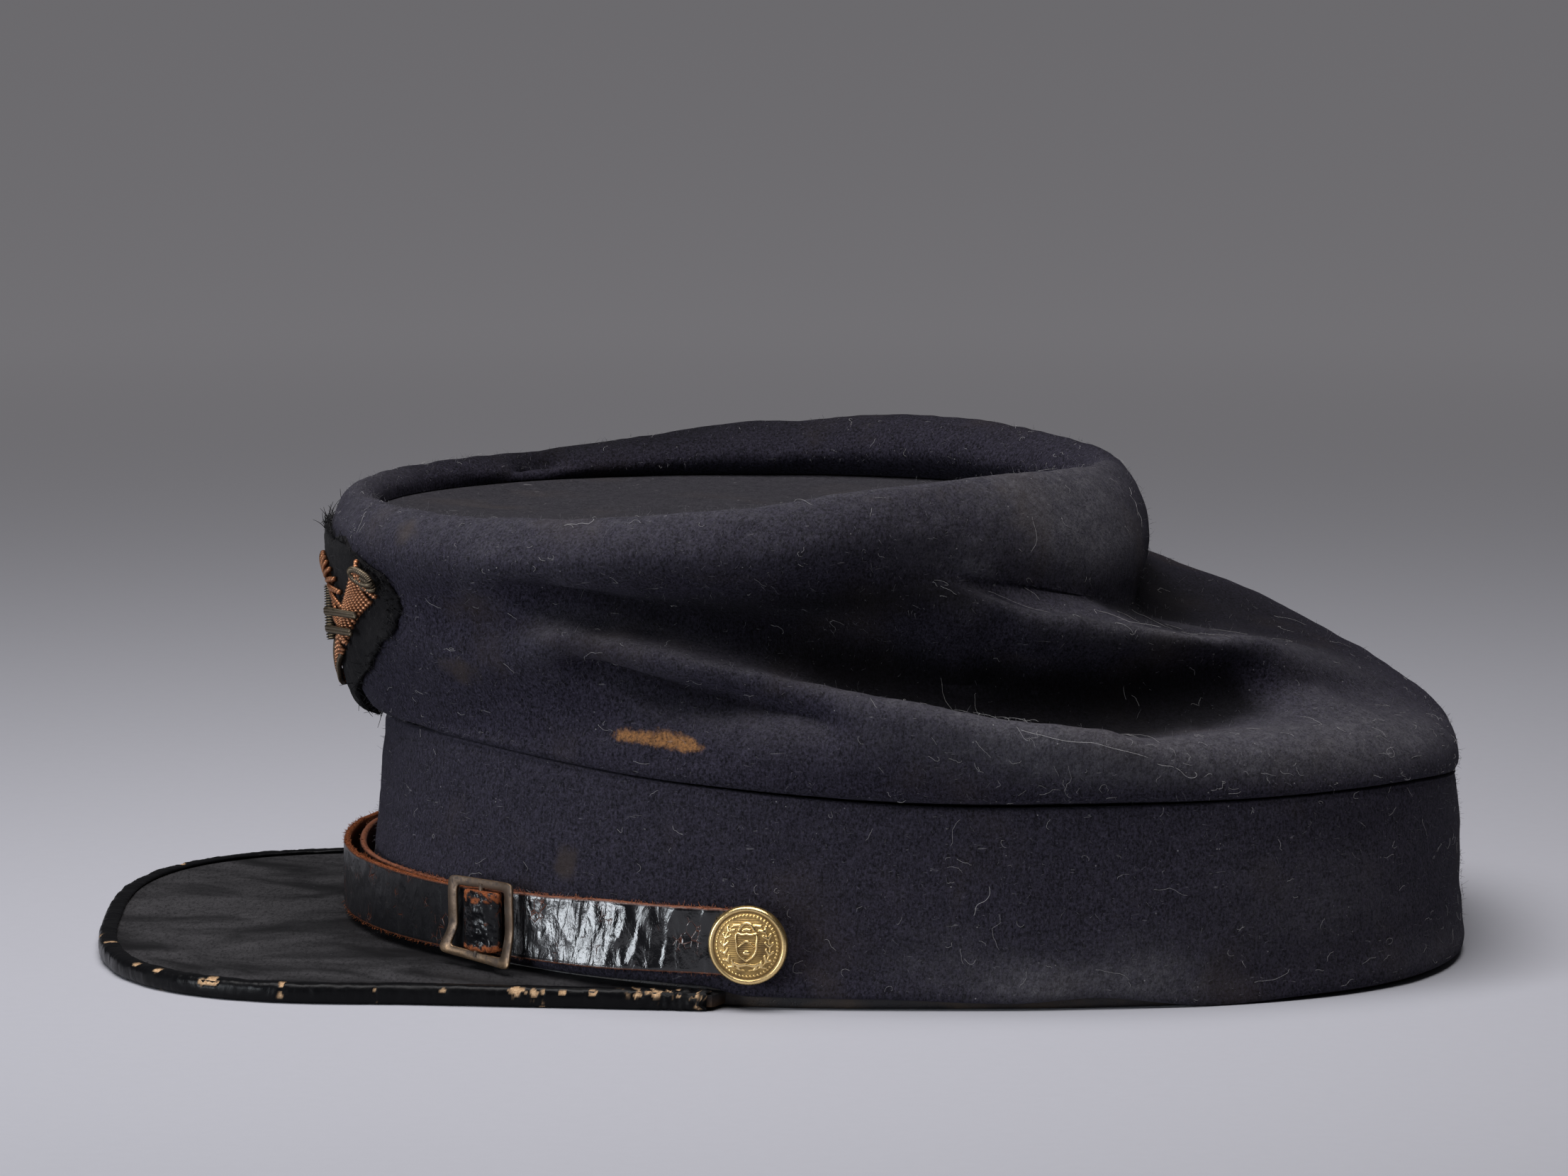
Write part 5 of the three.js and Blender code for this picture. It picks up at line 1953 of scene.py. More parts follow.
@dataclass
class CoatButton:
    """A small domed brass button: a plain shield and two branches inside a ring of beads."""

    form: CapForm
    side: Side
    layer: str
    angle: float = 68.2
    radius: float = 7.7
    height: float = 13
    shank_radius: float = 1.1
    dome: float = 1.2
    rings: int = 76
    columns: int = 212
    beads: int = 52
    bead_ring: float = 5.95
    bead_radius: float = 0.3

    def leaves(self) -> list[Stroke]:
        """Lists the leaves in pairs along the right branch.

        Returns:
            Three-point strokes, without those that would reach the beads.
        """
        stem = smooth_line(STEM, 40)
        along = unit(np.gradient(stem, axis=0))
        drawn = []
        for i in range(4, 40, 5):
            for lean, long in ((0.75, 1.15), (-0.75, 0.95)):
                c, s = math.cos(lean), math.sin(lean)
                go = np.array([along[i, 0] * c - along[i, 1] * s, along[i, 0] * s + along[i, 1] * c])
                tip, half_way = stem[i] + go * long, stem[i] + go * long * 0.5
                if np.hypot(*tip) < 5.5:
                    drawn.append(Stroke((tuple(stem[i]), tuple(half_way), tuple(tip)), 0.27, 0.3))
        return drawn

    def strokes(self) -> list[Stroke]:
        """Lists the lines of the shield, its crest and ribbon, and the two branches.

        Returns:
            The strokes.
        """
        right = [Stroke(SHIELD, 0.24, 0.4), Stroke(STEM, 0.17, 0.26), *self.leaves()]
        drawn = right + [Stroke(mirrored(one.points), one.half_width, one.rise) for one in right]
        drawn += [
            Stroke(((-1.5, 0.0), (-0.7, 0.7), (0, 1.05), (0.7, 0.7), (1.5, 0.0)), 0.22, 0.3),
            Stroke(((-0.25, -1.2), (0, -1.15), (0.25, -1.2)), 0.5, 0.34),
            Stroke(RIBBON, 0.36, 0.3),
            Stroke(CREST, 0.3, 0.34),
            Stroke(((-0.6, 3.1), (0, 3.25), (0.6, 3.1)), 0.34, 0.3),
        ]
        return drawn

    def relief(self, x: Array, y: Array) -> Array:
        """Reads how high the relief stands over the domed face.

        Args:
            x: Places across the face.
            y: Places up it.

        Returns:
            The height at each.
        """
        places = np.stack([x.ravel(), y.ravel()], -1)
        rise = np.zeros(len(places))
        for stroke in self.strokes():
            gap = distance_to_line(places, smooth_line(stroke.points, 22)) / stroke.half_width
            rise = np.maximum(rise, stroke.rise * np.sqrt(np.clip(1 - gap * gap, 0, 1)))
        turn = np.arctan2(places[:, 1], places[:, 0])
        away = np.hypot(places[:, 0], places[:, 1])
        bead_turn = (turn / (2 * np.pi) * self.beads + 0.5) % 1 - 0.5
        along_ring = bead_turn * 2 * np.pi * self.bead_ring / self.beads
        bead_gap = np.hypot(along_ring, away - self.bead_ring) / self.bead_radius
        rise = np.maximum(rise, 0.27 * np.sqrt(np.clip(1 - bead_gap * bead_gap, 0, 1)))
        hatched = 0.05 * np.cos(places[:, 1] * 2 * np.pi / 0.42) * (away < self.bead_ring - 0.5)
        return np.maximum(rise, 0.05 + hatched).reshape(x.shape)

    def body(self) -> Body:
        """Skins the button: rolled rim, beads, relief and shank.

        Returns:
            The button, on the strap.
        """
        r = self.radius
        off = strap_at(self.side.value * self.angle, self.layer) + ChinStrap.thick + GAP
        shank = off + 2
        rim = [
            (r - 0.8, 0.0), (r - 0.25, 0.3), (r, 0.9), (r - 0.04, 1.4), (r - 0.25, 1.85),
            (r - 0.6, 2.1), (r - 0.92, 1.98), (r - 1.12, 1.72), (r - 1.28, 1.62),
        ]
        reach = np.linspace(r - 1.4, 0.02, self.rings)
        face = [(a, 1.62 + self.dome * (1 - (a / (r - 1.28)) ** 2)) for a in reach]
        back = [(0.02, -shank), (self.shank_radius, -shank), (self.shank_radius, 0.0)]
        profile = np.array(back + rim + face)
        turn = full_circle(self.columns)
        x = profile[:, :1] * np.cos(turn)
        y = profile[:, :1] * np.sin(turn)
        z = np.broadcast_to(profile[:, 1:], x.shape).copy()
        raised = self.relief(x, y)
        on_face = (np.arange(len(profile)) >= len(back) + len(rim))[:, None]
        z += raised * on_face
        flat = np.stack([x, y, z], -1)
        body = loft(flat, Ends.FLAT)
        away = np.hypot(x, y)
        groove = hump(away - (r - 1.2), 0.25)
        deep = np.where(on_face, 1 - smooth_step(0.06, 0.22, raised), 0.0)
        deep = np.maximum(deep * (0.72 + 0.5 * ripple(flat, 2.4, 2, 29)), groove)
        bright = np.where(on_face, smooth_step(0.16, 0.32, raised), hump(z - 2.0, 0.25) * 0.9)
        body.tinted(deep=np.clip(deep, 0, 1).ravel(), bright=bright.ravel())
        mount = Mount(self.form, self.side.value * self.angle, self.height, off)
        body.points = mount.place(body.points)
        return body

    def make(self, gilt: Material) -> Pieces:
        """Makes the button.

        Args:
            gilt: Its finish.

        Returns:
            The piece.
        """
        name = self.side.name.lower()
        button = self.body().to_object(f"gilt_button_{name}", gilt)
        return [handed_over(button, "gilt_brass", f"button_{name}")]


# ---- Badge ----
class FrontCloth:
    """The front of the crown as a sheet: across to the left, up, and proud of the cloth."""

    def __init__(self, form: CapForm) -> None:
        """Samples the cloth.

        Args:
            form: The cap's shape.
        """
        self.across = np.linspace(-50, 50, 201)
        self.height = np.linspace(44, 88, 177)
        ring = np.linspace(0, 6.6, 260)
        angle, grid_ring = np.meshgrid(self.across * 0.715, ring, indexing="ij")
        points = form.crown(angle, grid_ring)
        out = grid_normals(points, wrapped=False)
        place = np.empty((len(self.across), len(self.height), 6))
        both = np.concatenate([points, out], -1)
        for i in range(len(self.across)):
            level = np.maximum.accumulate(points[i, :, 2] + np.arange(len(ring)) * 1e-6)
            for k in range(6):
                place[i, :, k] = np.interp(self.height, level, both[i, :, k])
        self.place = place

    def lay(self, flat: Array) -> Array:
        """Lays points on the cloth.

        Args:
            flat: Points as across, height and proud, in millimetres.

        Returns:
            The points in space, in the same shape.
        """
        u = (flat[..., 0] - self.across[0]) / (self.across[1] - self.across[0])
        v = (flat[..., 1] - self.height[0]) / (self.height[1] - self.height[0])
        u, v = np.clip(u, 0, len(self.across) - 1.001), np.clip(v, 0, len(self.height) - 1.001)
        i, j = u.astype(int), v.astype(int)
        s, t = (u - i)[..., None], (v - j)[..., None]
        p = self.place
        read = p[i, j] * (1 - s) * (1 - t) + p[i + 1, j] * s * (1 - t)
        read += p[i, j + 1] * (1 - s) * t + p[i + 1, j + 1] * s * t
        return read[..., :3] + unit(read[..., 3:]) * flat[..., 2:3]


@dataclass(frozen=True)
class BraidStop:
    """A stop along an embroidered form: where its middle lies, its half width and half depth."""

    across: float
    height: float
    wide: float
    deep: float


@dataclass
class Badge:
    """A bugle horn in twisted wire on a ragged black patch, with a cord loop and a plain bar."""

    form: CapForm
    clearance: float = 0.5
    patch_thick: float = 0.7
    padding: float = 1.1
    low: float = 46.5
    high: float = 82.6
    half_widths: tuple[float, ...] = (5, 8.5, 15.5, 24.5, 32, 38, 43, 44, 29)
    strand: float = 0.48
    strand_pitch: float = 1.42
    sides: int = 8
    rib_steps: int = 4
    rib_depth: float = 0.26
    hoop_tilt: float = -3
    bell: tuple[BraidStop, ...] = (
        BraidStop(37.8, 77, 3.4, 0.9), BraidStop(32.5, 74.2, 2.9, 1.1), BraidStop(26.6, 70.9, 2.4, 1.1),
        BraidStop(21.2, 67.4, 2.2, 1.0), BraidStop(17, 64, 1.9, 0.9),
    )
    tube: tuple[BraidStop, ...] = (
        BraidStop(17, 64, 1.9, 0.9), BraidStop(12, 60.5, 1.4, 0.6), BraidStop(7.5, 57.5, 1.0, 0.5),
        BraidStop(1.5, 53, 0.8, 0.4), BraidStop(-6, 52, 0.8, 0.4), BraidStop(-16, 56, 1.0, 0.5),
        BraidStop(-24, 64, 1.2, 0.5), BraidStop(-28, 73.5, 1.6, 0.6),
    )
    cord: tuple[BraidStop, ...] = (
        BraidStop(15.5, 66.2, 2.7, 0.8), BraidStop(16, 69.8, 3.0, 0.85), BraidStop(13, 73.4, 2.8, 0.8),
        BraidStop(7.5, 75.3, 2.2, 0.7), BraidStop(0, 75, 1.9, 0.7), BraidStop(-8, 71.5, 1.9, 0.7),
        BraidStop(-14, 65, 1.6, 0.7),
    )
    bar: tuple[BraidStop, ...] = (
        BraidStop(3.4, 60.5, 1.5, 0.3), BraidStop(3.4, 65.5, 1.5, 0.3), BraidStop(3.4, 71, 1.5, 0.3),
    )
    bands: tuple[tuple[BraidStop, ...], ...] = (
        (BraidStop(9, 66.8, 0.5, 1.5), BraidStop(18, 68.1, 0.55, 2.2), BraidStop(28.5, 68.8, 0.5, 1.5)),
        (BraidStop(9.5, 63.8, 0.5, 1.5), BraidStop(16, 64.8, 0.55, 2), BraidStop(24.5, 65.4, 0.5, 1.4)),
    )

    def __post_init__(self) -> None:
        """Prepares the cloth that the badge lies on."""
        self.cloth = FrontCloth(self.form)
        self.base = self.clearance + self.patch_thick + 0.1

    def padded(self, flat: Array) -> Array:
        """Reads how far the patch's padding stands out under points on the cloth."""
        across = np.clip(1 - (flat[..., 0] / 30) ** 2, 0, 1) ** 2
        return self.padding * across * np.clip(1 - ((flat[..., 1] - 54) / 17) ** 2, 0, 1) ** 2

    def half_width(self, up: Array) -> Array:
        """Reads the patch's half width at shares of its height."""
        stops = range(len(self.half_widths))
        return np.interp(up * stops[-1], stops, self.half_widths)

    def patch(self) -> Body:
        """Skins the patch, ragged round its edge and tufted.

        Returns:
            The closed patch.
        """
        rows, columns = 84, 110
        up = np.linspace(0, 1, rows + 1)[:, None]
        across = np.linspace(-1, 1, columns + 1)[None]
        half = self.half_width(up)
        height = self.low + (self.high - self.low) * up
        flat = np.stack(np.broadcast_arrays(half * across, height, 0 * half), -1)
        border = smooth_step(0.86, 1, np.abs(across)) + 0 * up
        ends = np.maximum(smooth_step(0.08, 0, up), smooth_step(0.93, 1, up)) + 0 * across
        flat[..., 0] += np.sign(across) * border * (1.7 * ripple(flat * (0, 1, 0), 4, 3, 40) + 0.3)
        flat[..., 1] += ends * 1.8 * ripple(flat * (1, 0, 0), 5, 3, 41)
        fray = np.maximum(border, ends)
        tufts = 0.34 * ripple(flat, 2.2, 3, 42) + 0.35 * fray * ripple(flat, 1.3, 3, 43)
        top, bottom = flat.copy(), flat.copy()
        top[..., 2] = self.clearance + self.patch_thick * (1 - 0.35 * fray) + tufts * 0.7
        top[..., 2] += self.padded(flat)
        bottom[..., 2] = self.clearance - 0.25
        sections = np.concatenate([self.cloth.lay(top), self.cloth.lay(bottom)[:, ::-1]], axis=1)
        body = loft(sections, Ends.SHEET)
        return body.tinted(fray=np.concatenate([fray, fray[:, ::-1]], axis=1).ravel())

    def patch_fringe(self) -> Body:
        """Makes the loose threads round the patch.

        Returns:
            The threads.
        """
        rng = np.random.default_rng(50)
        count = 620
        up = rng.uniform(0, 1, count)
        side = np.sign(rng.uniform(-1, 1, count))
        at_end = rng.random(count) < 0.28
        share = np.where(at_end, rng.uniform(-1, 1, count), side * rng.uniform(0.93, 1.0, count))
        rise = np.where(at_end, np.where(rng.random(count) < 0.6, 0.99, 0.01), up)
        half = self.half_width(rise)
        start = np.stack([share * half, self.low + (self.high - self.low) * rise, 0 * half + 1.1], -1)
        away = np.where(at_end, np.sign(rise - 0.5), 0.0)
        go = np.stack([np.where(at_end, 0.3 * share, side), away, 0 * half], -1)
        go = unit(go + rng.normal(0, 0.55, (count, 3)))
        step = np.linspace(0, 1, 6)[None, :, None]
        curl = rng.normal(0, 0.35, (count, 1, 3)) * step**2
        flat = start[:, None] + (go[:, None] * step + curl) * rng.uniform(0.6, 2.6, (count, 1, 1))
        radii = np.broadcast_to(np.linspace(0.11, 0.04, 6), (count, 6))
        return tubes(self.cloth.lay(flat), radii, 4).tinted(fray=0.6)

    def stitched(self, paths: Array, radius: float, tone: float) -> Body:
        """Makes twisted wire along paths on the cloth.

        Args:
            paths: Points by strand and step, as across, height and proud of the patch.
            radius: Radius of the wire coil.
            tone: 0 for copper, 1 for grey gold.

        Returns:
            The strands, ribbed like a tight coil.
        """
        lifted = paths.copy()
        lifted[..., 2] += self.base + self.padded(paths)
        radii = np.full(paths.shape[:2], radius)
        body = tubes(self.cloth.lay(lifted), radii, self.sides, 1 / self.rib_steps, self.rib_depth)
        turn = np.arange(paths.shape[1])[:, None] / self.rib_steps + np.arange(self.sides) / self.sides
        ribs = np.broadcast_to(np.cos(turn * 2 * np.pi), (len(paths), *turn.shape))
        deep, bright = np.clip(-ribs, 0, 1), np.clip(ribs, 0, 1)
        return body.tinted(deep=deep.ravel() * 0.8, bright=bright.ravel() * 0.75, tone=tone)

    def steps(self, paths: Array, pitch: float) -> Array:
        """Spaces each path's points so that the right number of them makes one rib of the coil.

        Args:
            paths: Points by strand and step.
            pitch: Length of a rib.

        Returns:
            The paths with new steps.
        """
        run = np.linalg.norm(np.diff(paths[..., :2], axis=1), axis=-1).sum(1)
        count = max(int(run.mean() / pitch * self.rib_steps), 8)
        old, new = np.linspace(0, 1, paths.shape[1]), np.linspace(0, 1, count)
        rows = [[np.interp(new, old, path[:, k]) for k in range(3)] for path in paths]
        return np.moveaxis(np.array(rows), 1, 2)

    def guide(self, stops: tuple[BraidStop, ...], count: int) -> tuple[Array, Array, Array]:
        """Spaces places evenly along a form.

        Args:
            stops: Its stops.
            count: How many places.

        Returns:
            Middles, level directions across it, and half widths and depths.
        """
        table = np.array([(s.across, s.height, s.wide, s.deep) for s in stops])
        fine = smooth_line(table, 400)
        run = np.concatenate([[0], np.cumsum(np.linalg.norm(np.diff(fine[:, :2], axis=0), axis=1))])
        at = np.linspace(0, run[-1], count)
        even = np.stack([np.interp(at, run, fine[:, k]) for k in range(4)], -1)
        along = unit(np.gradient(even[:, :2], axis=0))
        return even[:, :2], np.stack([-along[:, 1], along[:, 0]], -1), even[:, 2:]

    def satin(self, stops: tuple[BraidStop, ...], slant: float) -> Body:
        """Covers a form with copper strands laid across it at a slant, arched over its padding.

        Args:
            stops: The form.
            slant: How far a strand runs along the form, as a share of its run across.

        Returns:
            The strands.
        """
        table = np.array([(s.across, s.height) for s in stops])
        length = np.linalg.norm(np.diff(smooth_line(table, 100), axis=0), axis=1).sum()
        count = int(length / (self.strand_pitch * math.hypot(1, slant)))
        middle, across, size = self.guide(stops, count)
        along = np.stack([across[:, 1], -across[:, 0]], -1)
        at = np.linspace(0, length, count)
        to_end = np.minimum(at, length - at) / size[:, 0]
        lean = np.minimum(slant, 0.25 + to_end)[:, None, None]
        share = np.linspace(-1, 1, 26)[None, :, None]
        sideways = across[:, None] * size[:, None, :1] * share
        drift = along[:, None] * lean * size[:, None, :1] * (share + 0.2 * share**3)
        proud = 0.2 + 1.4 * size[:, None, 1] * np.sqrt(np.clip(1 - (share[..., 0] * 0.97) ** 2, 0, 1))
        paths = np.concatenate([middle[:, None] + sideways + drift, proud[..., None]], -1)
        return self.stitched(self.steps(paths, 0.5), self.strand, 0.0)

    def edged(self, stops: tuple[BraidStop, ...], radius: float) -> Body:
        """Makes the two grey gold coils that run along the sides of a form.

        Args:
            stops: The form.
            radius: Radius of a coil.

        Returns:
            Both coils.
        """
        middle, across, size = self.guide(stops, 220)
        paths = []
        for side in (-1, 1):
            plan = middle + across * size[:, :1] * side * 1.05
            paths.append(np.concatenate([plan, np.full((len(plan), 1), radius + 0.3)], 1))
        return self.stitched(self.steps(np.array(paths), 0.42), radius, 1.0)

    def fan(self, stops: tuple[BraidStop, ...], strands: int, radius: float) -> Body:
        """Makes grey gold strands that run lengthwise along a form and spread with it.

        Args:
            stops: The form.
            strands: How many strands.
            radius: Radius of a strand.

        Returns:
            The strands.
        """
        middle, across, size = self.guide(stops, 120)
        paths = []
        for k in range(strands):
            share = (k + 0.5) / strands * 2 - 1
            proud = 0.3 + 1.3 * size[:, 1:] * np.sqrt(1 - (share * 0.9) ** 2)
            paths.append(np.concatenate([middle + across * size[:, :1] * share * 0.95, proud], 1))
        return self.stitched(self.steps(np.array(paths), 0.5), radius, 1.0)

    def hoop(self, middle: Pair, half: Pair, radius: float, proud: float) -> Body:
        """Makes a closed-looking ring of coil round the bell's mouth.

        Args:
            middle: Its middle, across and up.
            half: Its half sizes.
            radius: Radius of the coil.
            proud: How far it stands off the patch.

        Returns:
            The ring.
        """
        turn = np.linspace(0, 2 * np.pi * 0.985, 150)
        x, y = half[0] * np.cos(turn), half[1] * np.sin(turn)
        tilt = math.radians(self.hoop_tilt)
        c, s = math.cos(tilt), math.sin(tilt)
        flat = np.stack([middle[0] + x * c - y * s, middle[1] + x * s + y * c, proud + 0 * turn], -1)
        return self.stitched(self.steps(flat[None], 0.45), radius, 1.0)

    def wires(self) -> tuple[Body, Body, Body]:
        """Builds the embroidery.

        Returns:
            The horn, the cord loop and the bar.
        """
        horn = self.satin(self.bell, 0.8) + self.satin(self.tube, 0.9) + self.edged(self.tube[1:], 0.5)
        horn += self.hoop((38.4, 77.9), (4.0, 1.2), 0.55, 1.6)
        horn += self.hoop((37.6, 76.5), (3.9, 1.1), 0.5, 1.2)
        for band in self.bands:
            horn += self.fan(band, 2, 0.42)
        return horn, self.satin(self.cord, 1.0), self.fan(self.bar, 1, 1.05)

    def make(self, cloth: Material, wire: Material, grey: Material) -> Pieces:
        """Makes the patch and the embroidery.

        Args:
            cloth: Finish of the patch.
            wire: Finish of the horn and the cord.
            grey: Finish of the bar.

        Returns:
            The pieces.
        """
        horn, cord, bar = self.wires()
        patch = self.patch() + self.patch_fringe()
        return [
            handed_over(patch.to_object("badge_backing", cloth), "badge_cloth", "badge_patch"),
            handed_over(horn.to_object("badge_horn_wire", wire), "copper_wire", "badge_horn"),
            handed_over(cord.to_object("badge_cord_wire", wire), "copper_wire", "badge_cord"),
            handed_over(bar.to_object("badge_bar_wire", grey), "grey_wire", "badge_bar"),
        ]


# ---- Loose fibres ----
@dataclass
class LooseFibres:
    """The nap that stands off the wool, and the pale lint and threads caught in it."""

    form: CapForm
    nap_count: int = 8800
    lint_count: int = 620
    seed: int = 7
    degree_length: float = 1.45
    band_height: float = 38
    ring_length: float = 9.5
    thread_starts: tuple[tuple[float, float, float, float], ...] = (
        (103, 1.75, 21, -0.25), (118, 1.25, 9, -0.4), (66, 6.9, 8, 0.2), (137, 4.6, 8, 0.1),
        (96, -0.55, 7, 1.1),
    )

    def surface(self, angle: Array, level: Array) -> Array:
        """Finds points on the cloth.

        Args:
            angle: Angles in degrees.
            level: -1 to 0 is the band from hem to seam, 0 to 9 the crown's rings.

        Returns:
            A point for each pair.
        """
        flat_angle, flat_level = angle.ravel(), level.ravel()
        crown = self.form.crown(flat_angle, np.clip(flat_level, 0, LAST_RING))
        hem, seam = between(HEM, flat_angle % FULL_TURN, "height"), self.form.seam_height(flat_angle)
        height = seam + (seam - hem) * np.clip(flat_level, -0.97, 0)
        band = self.form.off_band(flat_angle, height, np.zeros(len(height)))
        return np.where((flat_level < 0)[:, None], band, crown).reshape(*angle.shape, 3)

    def frames(self, angle: Array, level: Array) -> tuple[Array, Array, Array]:
        """Finds points on the cloth and directions there.

        Args:
            angle: Angles in degrees.
            level: Levels, as in surface.

        Returns:
            The points, the directions out of the cloth and those round the cap.
        """
        here = self.surface(angle, level)
        across = unit(self.surface(angle + 0.5, level) - here)
        above = self.surface(angle, np.where(level < 0, np.minimum(level + 0.02, -0.001), level + 0.05))
        up = above - here
        up[np.linalg.norm(up, axis=-1) < 1e-4] = (0, 0, 1)
        return here, unit(np.cross(across, unit(up))), across

    def levels(self, rng: np.random.Generator, count: int) -> Array:
        """Draws levels so that band and crown get their shares."""
        on_band = rng.random(count) < 0.32
        return np.where(on_band, rng.uniform(-0.98, -0.03, count), rng.uniform(0.1, 8.4, count))

    def nap(self) -> Body:
        """Makes short fine hairs all over the cloth.

        Returns:
            The hairs.
        """
        rng = np.random.default_rng(self.seed)
        count = self.nap_count
        angle, level = rng.uniform(0, FULL_TURN, count), self.levels(rng, count)
        here, out, _ = self.frames(angle, level)
        go = unit(out * rng.uniform(0.35, 1, (count, 1)) + rng.normal(0, 0.5, (count, 3)))
        step = np.array([0, 0.5, 1])[None, :, None]
        bend = rng.normal(0, 0.3, (count, 1, 3)) * step**2
        length = rng.uniform(0.35, 1.15, (count, 1, 1)) * (1 + (rng.random((count, 1, 1)) < 0.06))
        paths = here[:, None] - out[:, None] * 0.05 + (go[:, None] * step + bend) * length
        radii = np.broadcast_to(np.array([0.032, 0.026, 0.012]), (count, 3))
        return tubes(paths, radii, 3).tinted(pale=0.12)

    def lint(self) -> Body:
        """Makes pale fibres that lie curled on the cloth, more of them low at the back.

        Returns:
            The fibres.
        """
        rng = np.random.default_rng(self.seed + 1)
        count = self.lint_count
        angle, level = rng.uniform(0, FULL_TURN, count), self.levels(rng, count)
        low_back = rng.random(count) < 0.22
        angle = np.where(low_back, rng.uniform(84, 170, count), angle)
        level = np.where(low_back, rng.uniform(-0.97, 2.2, count), level)
        steps = 10
        length = rng.uniform(1.2, 3.6, count) * (1 + 1.6 * (rng.random(count) < 0.12))
        heading = rng.uniform(0, 2 * np.pi, (count, 1))
        heading = heading + np.cumsum(rng.normal(0, 0.42, (count, steps)), 1)
        heading += rng.normal(0, 0.16, (count, 1)) * np.arange(steps)
        stride = (length / steps)[:, None]
        right = np.cumsum(np.cos(heading), 1) * stride
        rise = np.cumsum(np.sin(heading), 1) * stride
        lift = 0.09 + 0.35 * rng.random((count, 1)) * np.sin(np.linspace(0, np.pi, steps))[None] ** 2
        return self.laid(angle, level, right, rise, lift, 0.026).tinted(pale=0.62)

    def laid(
        self, angle: Array, level: Array, right: Array, rise: Array, lift: Array, radius: float
    ) -> Body:
        """Lays fibres on the cloth.

        Args:
            angle: Where each begins.
            level: Where each begins.
            right: How far it has gone round the cap at each step, in millimetres.
            rise: How far it has gone up the cloth.
            lift: How far it stands off.
            radius: Its radius.

        Returns:
            The fibres.
        """
        at = angle[:, None] + right / self.degree_length
        up_band = np.clip(level[:, None] + rise / self.band_height, -0.97, -0.01)
        up_crown = np.clip(level[:, None] + rise / self.ring_length, 0.08, 8.5)
        here, out, _ = self.frames(at, np.where((level < 0)[:, None], up_band, up_crown))
        paths = here + out * lift[..., None]
        return tubes(paths, np.full(paths.shape[:2], radius), 4)

    def threads(self) -> Body:
        """Makes the few long threads: a pale one along the seam and some on the top and the side.

        Returns:
            The threads.
        """
        rng = np.random.default_rng(self.seed + 2)
        steps = 60
        made = []
        for angle, level, length, heading in self.thread_starts:
            bend = np.cumsum(np.cumsum(rng.normal(0, 0.028, steps))) * 0.5
            way = heading + bend - bend.mean() * 0.5 + 0.35 * np.sin(np.linspace(0, 7, steps))
            stride = length / steps
            right = np.cumsum(np.cos(way))[None] * stride
            rise = np.cumsum(np.sin(way))[None] * stride
            lift = 0.15 + 0.25 * np.abs(np.sin(np.linspace(0, 9, steps)))[None]
            made.append(self.laid(np.array([angle]), np.array([level]), right, rise, lift, 0.036))
        return sum(made[1:], made[0]).tinted(pale=0.85)

    def make(self, fibre: Material) -> Pieces:
        """Makes the nap and the lint."""
        return [
            handed_over(self.nap().to_object("wool_nap", fibre), "wool"),
            handed_over((self.lint() + self.threads()).to_object("wool_lint", fibre), "wool"),
        ]


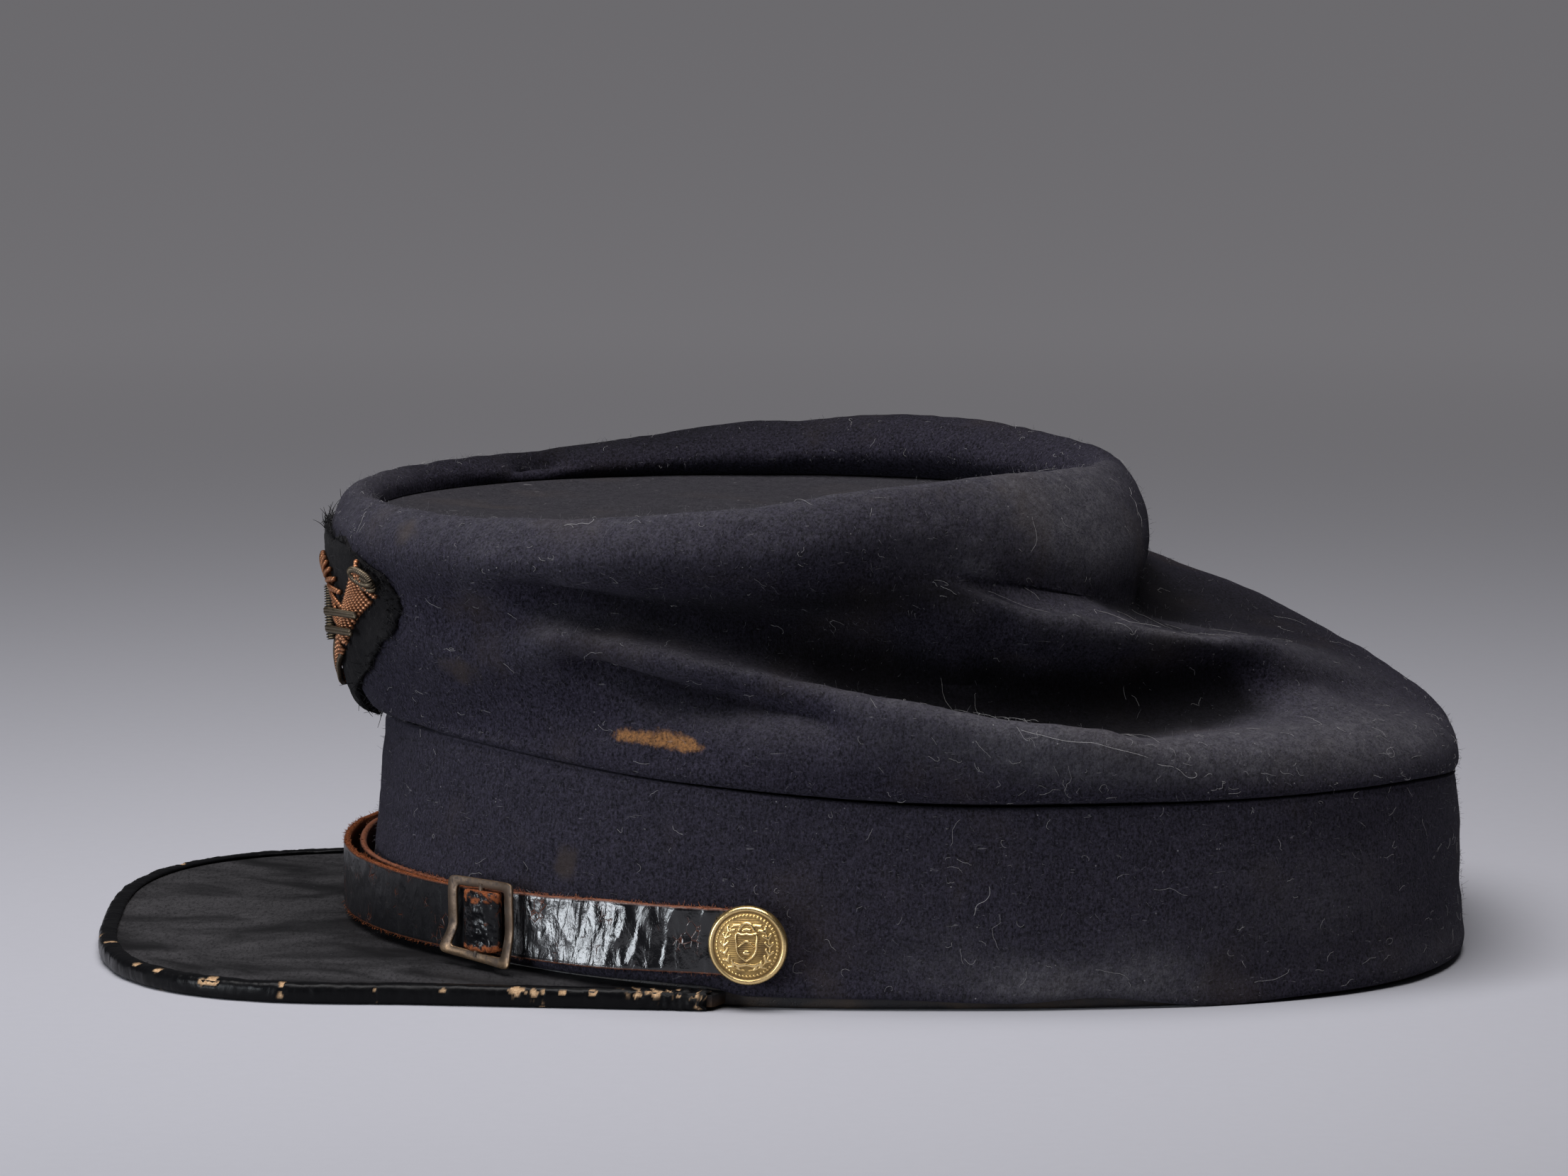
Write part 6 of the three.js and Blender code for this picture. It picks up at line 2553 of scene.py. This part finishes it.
# ---- Room ----
@dataclass
class Studio:
    """A pale table, soft light from above and the camera."""

    floor_size: float = 14.0
    lens: float = 218.34
    sensor: float = 36.0
    distance: float = 1.9
    elevation: float = 8.06
    target: Triple = (0.0004, 0.0088, 0.0681)

    def floor(self) -> None:
        """Makes the table, with painted light: pale near the cap, greyer further off, and glowing far
        off.
        """
        half = self.floor_size / 2
        mesh = bpy.data.meshes.new("table")
        corners = [(-half, -half, 0), (half, -half, 0), (half, half, 0), (-half, half, 0)]
        mesh.from_pydata(corners, [], [(0, 1, 2, 3)])
        table = bpy.data.objects.new("table", mesh)
        bpy.context.scene.collection.objects.link(table)
        bench = Bench("table_painted_light")
        away = bench.node("ShaderNodeVectorMath", {"operation": "LENGTH"}, {0: bench.place}, "Value")
        # Painted pool of light: the table's colour is pale near the cap and darker further off.
        shade = bench.blend((0.40, 0.402, 0.44), (0.052, 0.051, 0.055), away.eased(0.0, 1.0))
        shade = shade.times(0.98 + 0.04 * bench.grain(3, 4))
        # Painted glow: the far table gives off light as a lit backdrop, though it is no lamp.
        backdrop_glow = bench.blend((0, 0, 0), (0.138, 0.134, 0.142), away.eased(0.25, 1.1))
        paper = {"Base_Color": shade, "Roughness": 0.7, "Specular_IOR_Level": 0.2}
        mesh.materials.append(bench.finish(**paper, Emission_Color=backdrop_glow, Emission_Strength=1.0))

    def light(
        self, name: str, place: Triple, aim: Triple, size: Pair, power: float, colour: Triple
    ) -> None:
        """Adds a soft rectangular light.

        Args:
            name: Its name.
            place: Where it is, in metres.
            aim: The point that it faces.
            size: Its width and height.
            power: Watts.
            colour: Its colour.
        """
        data = bpy.data.lights.new(name, "AREA")
        data.shape, data.size, data.size_y = "RECTANGLE", *size
        data.energy, data.color = power, colour
        made = bpy.data.objects.new(name, data)
        made.location = place
        made.rotation_euler = (Vector(aim) - Vector(place)).to_track_quat("-Z", "Y").to_euler()
        bpy.context.scene.collection.objects.link(made)

    def camera(self) -> None:
        """Sets up the camera."""
        data = bpy.data.cameras.new("camera")
        data.sensor_width, data.lens = self.sensor, self.lens
        data.clip_start, data.clip_end = 0.05, 60
        made = bpy.data.objects.new("camera", data)
        tilt = math.radians(self.elevation)
        sight = Vector((0, math.cos(tilt), -math.sin(tilt)))
        made.location = Vector(self.target) - sight * self.distance
        made.rotation_euler = sight.to_track_quat("-Z", "Y").to_euler()
        bpy.context.scene.collection.objects.link(made)
        bpy.context.scene.camera = made

    def build(self) -> None:
        """Sets everything up."""
        scene = bpy.context.scene
        scene.view_settings.view_transform = "Standard"
        world = bpy.data.worlds.new("room")
        world.use_nodes = True
        sky = world.node_tree.nodes["Background"]
        sky.inputs["Color"].default_value = (0.40, 0.40, 0.43, 1)
        sky.inputs["Strength"].default_value = 0.10
        scene.world = world
        self.floor()
        warm, cool = (1.0, 0.985, 0.99), (0.88, 0.94, 1.0)
        self.light("overhead", (-0.16, -0.28, 1.2), (0.0, 0.0, 0.05), (1.2, 1.0), 23.5, warm)
        self.light("low_panel", (-0.72, -0.47, 0.13), (-0.08, -0.06, 0.02), (0.34, 0.24), 3.6, cool)
        self.camera()


# ---- The cap ----
def handed_over(piece: Object, slot: str, *nodes: str) -> Object:
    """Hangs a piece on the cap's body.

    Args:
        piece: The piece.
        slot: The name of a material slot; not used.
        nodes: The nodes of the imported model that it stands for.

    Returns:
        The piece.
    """
    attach(piece, "root")
    if nodes:
        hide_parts(*nodes)
    return piece


def main() -> None:
    """Builds the cap and the room."""
    logging.basicConfig(level=logging.INFO, format="%(name)s: %(message)s")
    form = CapForm()
    wool = WoolFinish("navy_wool").material()
    top_wool = WoolFinish("dusty_top_wool", open=(0.029, 0.0265, 0.033), nap_depth=0.5).material()
    fibre = FibreFinish("loose_fibre").material()
    enamel = PeakFinish("enamelled_leather").material()
    rolled = GlossLeatherFinish(
        "binding_lacquer", black=(0.003, 0.003, 0.0035), worn=(0.30, 0.18, 0.095),
        flesh=(0.62, 0.42, 0.25), gloss=0.28, crack_size=2.2, cracked=0.0, crinkle=0.2, shine=0.1,
    ).material()
    duller = GlossLeatherFinish("outer_strap_lacquer", crinkle=0.42, shine=0.24).material()
    lacquer = GlossLeatherFinish("strap_lacquer", crinkle=0.36, shine=0.7).material()
    glazed = PlainLeatherFinish("sweat_leather_glaze").material()
    brass = MetalFinish(
        "dull_brass", (0.11, 0.080, 0.060), (0.035, 0.027, 0.025), (0.52, 0.32, 0.16), 0.38, 0.9
    ).material()
    gilt = MetalFinish(
        "old_gilt", (0.70, 0.46, 0.16), (0.11, 0.062, 0.024), (0.95, 0.72, 0.36), 0.32, 0.18
    ).material()
    copper = MetalFinish(
        "copper_coil", (0.34, 0.13, 0.055), (0.03, 0.015, 0.010), (0.62, 0.34, 0.20), 0.42, 0.45
    ).material()
    grey = MetalFinish(
        "grey_coil", (0.085, 0.083, 0.088), (0.02, 0.02, 0.021), (0.21, 0.205, 0.215), 0.45, 0.4
    ).material()
    cloth = VelvetFinish("badge_backing_cloth").material()
    made = CrownCloth(form).make(wool) + CrownDisc(form).make(top_wool) + HatBand(form).make(wool)
    made += Sweatband(form).make(glazed, fibre)
    made += Peak(form).make(enamel, rolled)
    made += ChinStrap(form).make(lacquer, duller)
    made += Buckle(form).make(brass)
    made += CoatButton(form, Side.LEFT, "under").make(gilt)
    made += CoatButton(form, Side.RIGHT, "front").make(gilt)
    made += Badge(form).make(cloth, copper, grey)
    made += LooseFibres(form).make(fibre)
    for piece in made:
        LOG.info("%s: %d faces", piece.name, len(piece.data.polygons))
    Studio().build()


if __name__ == "__main__":
    main()
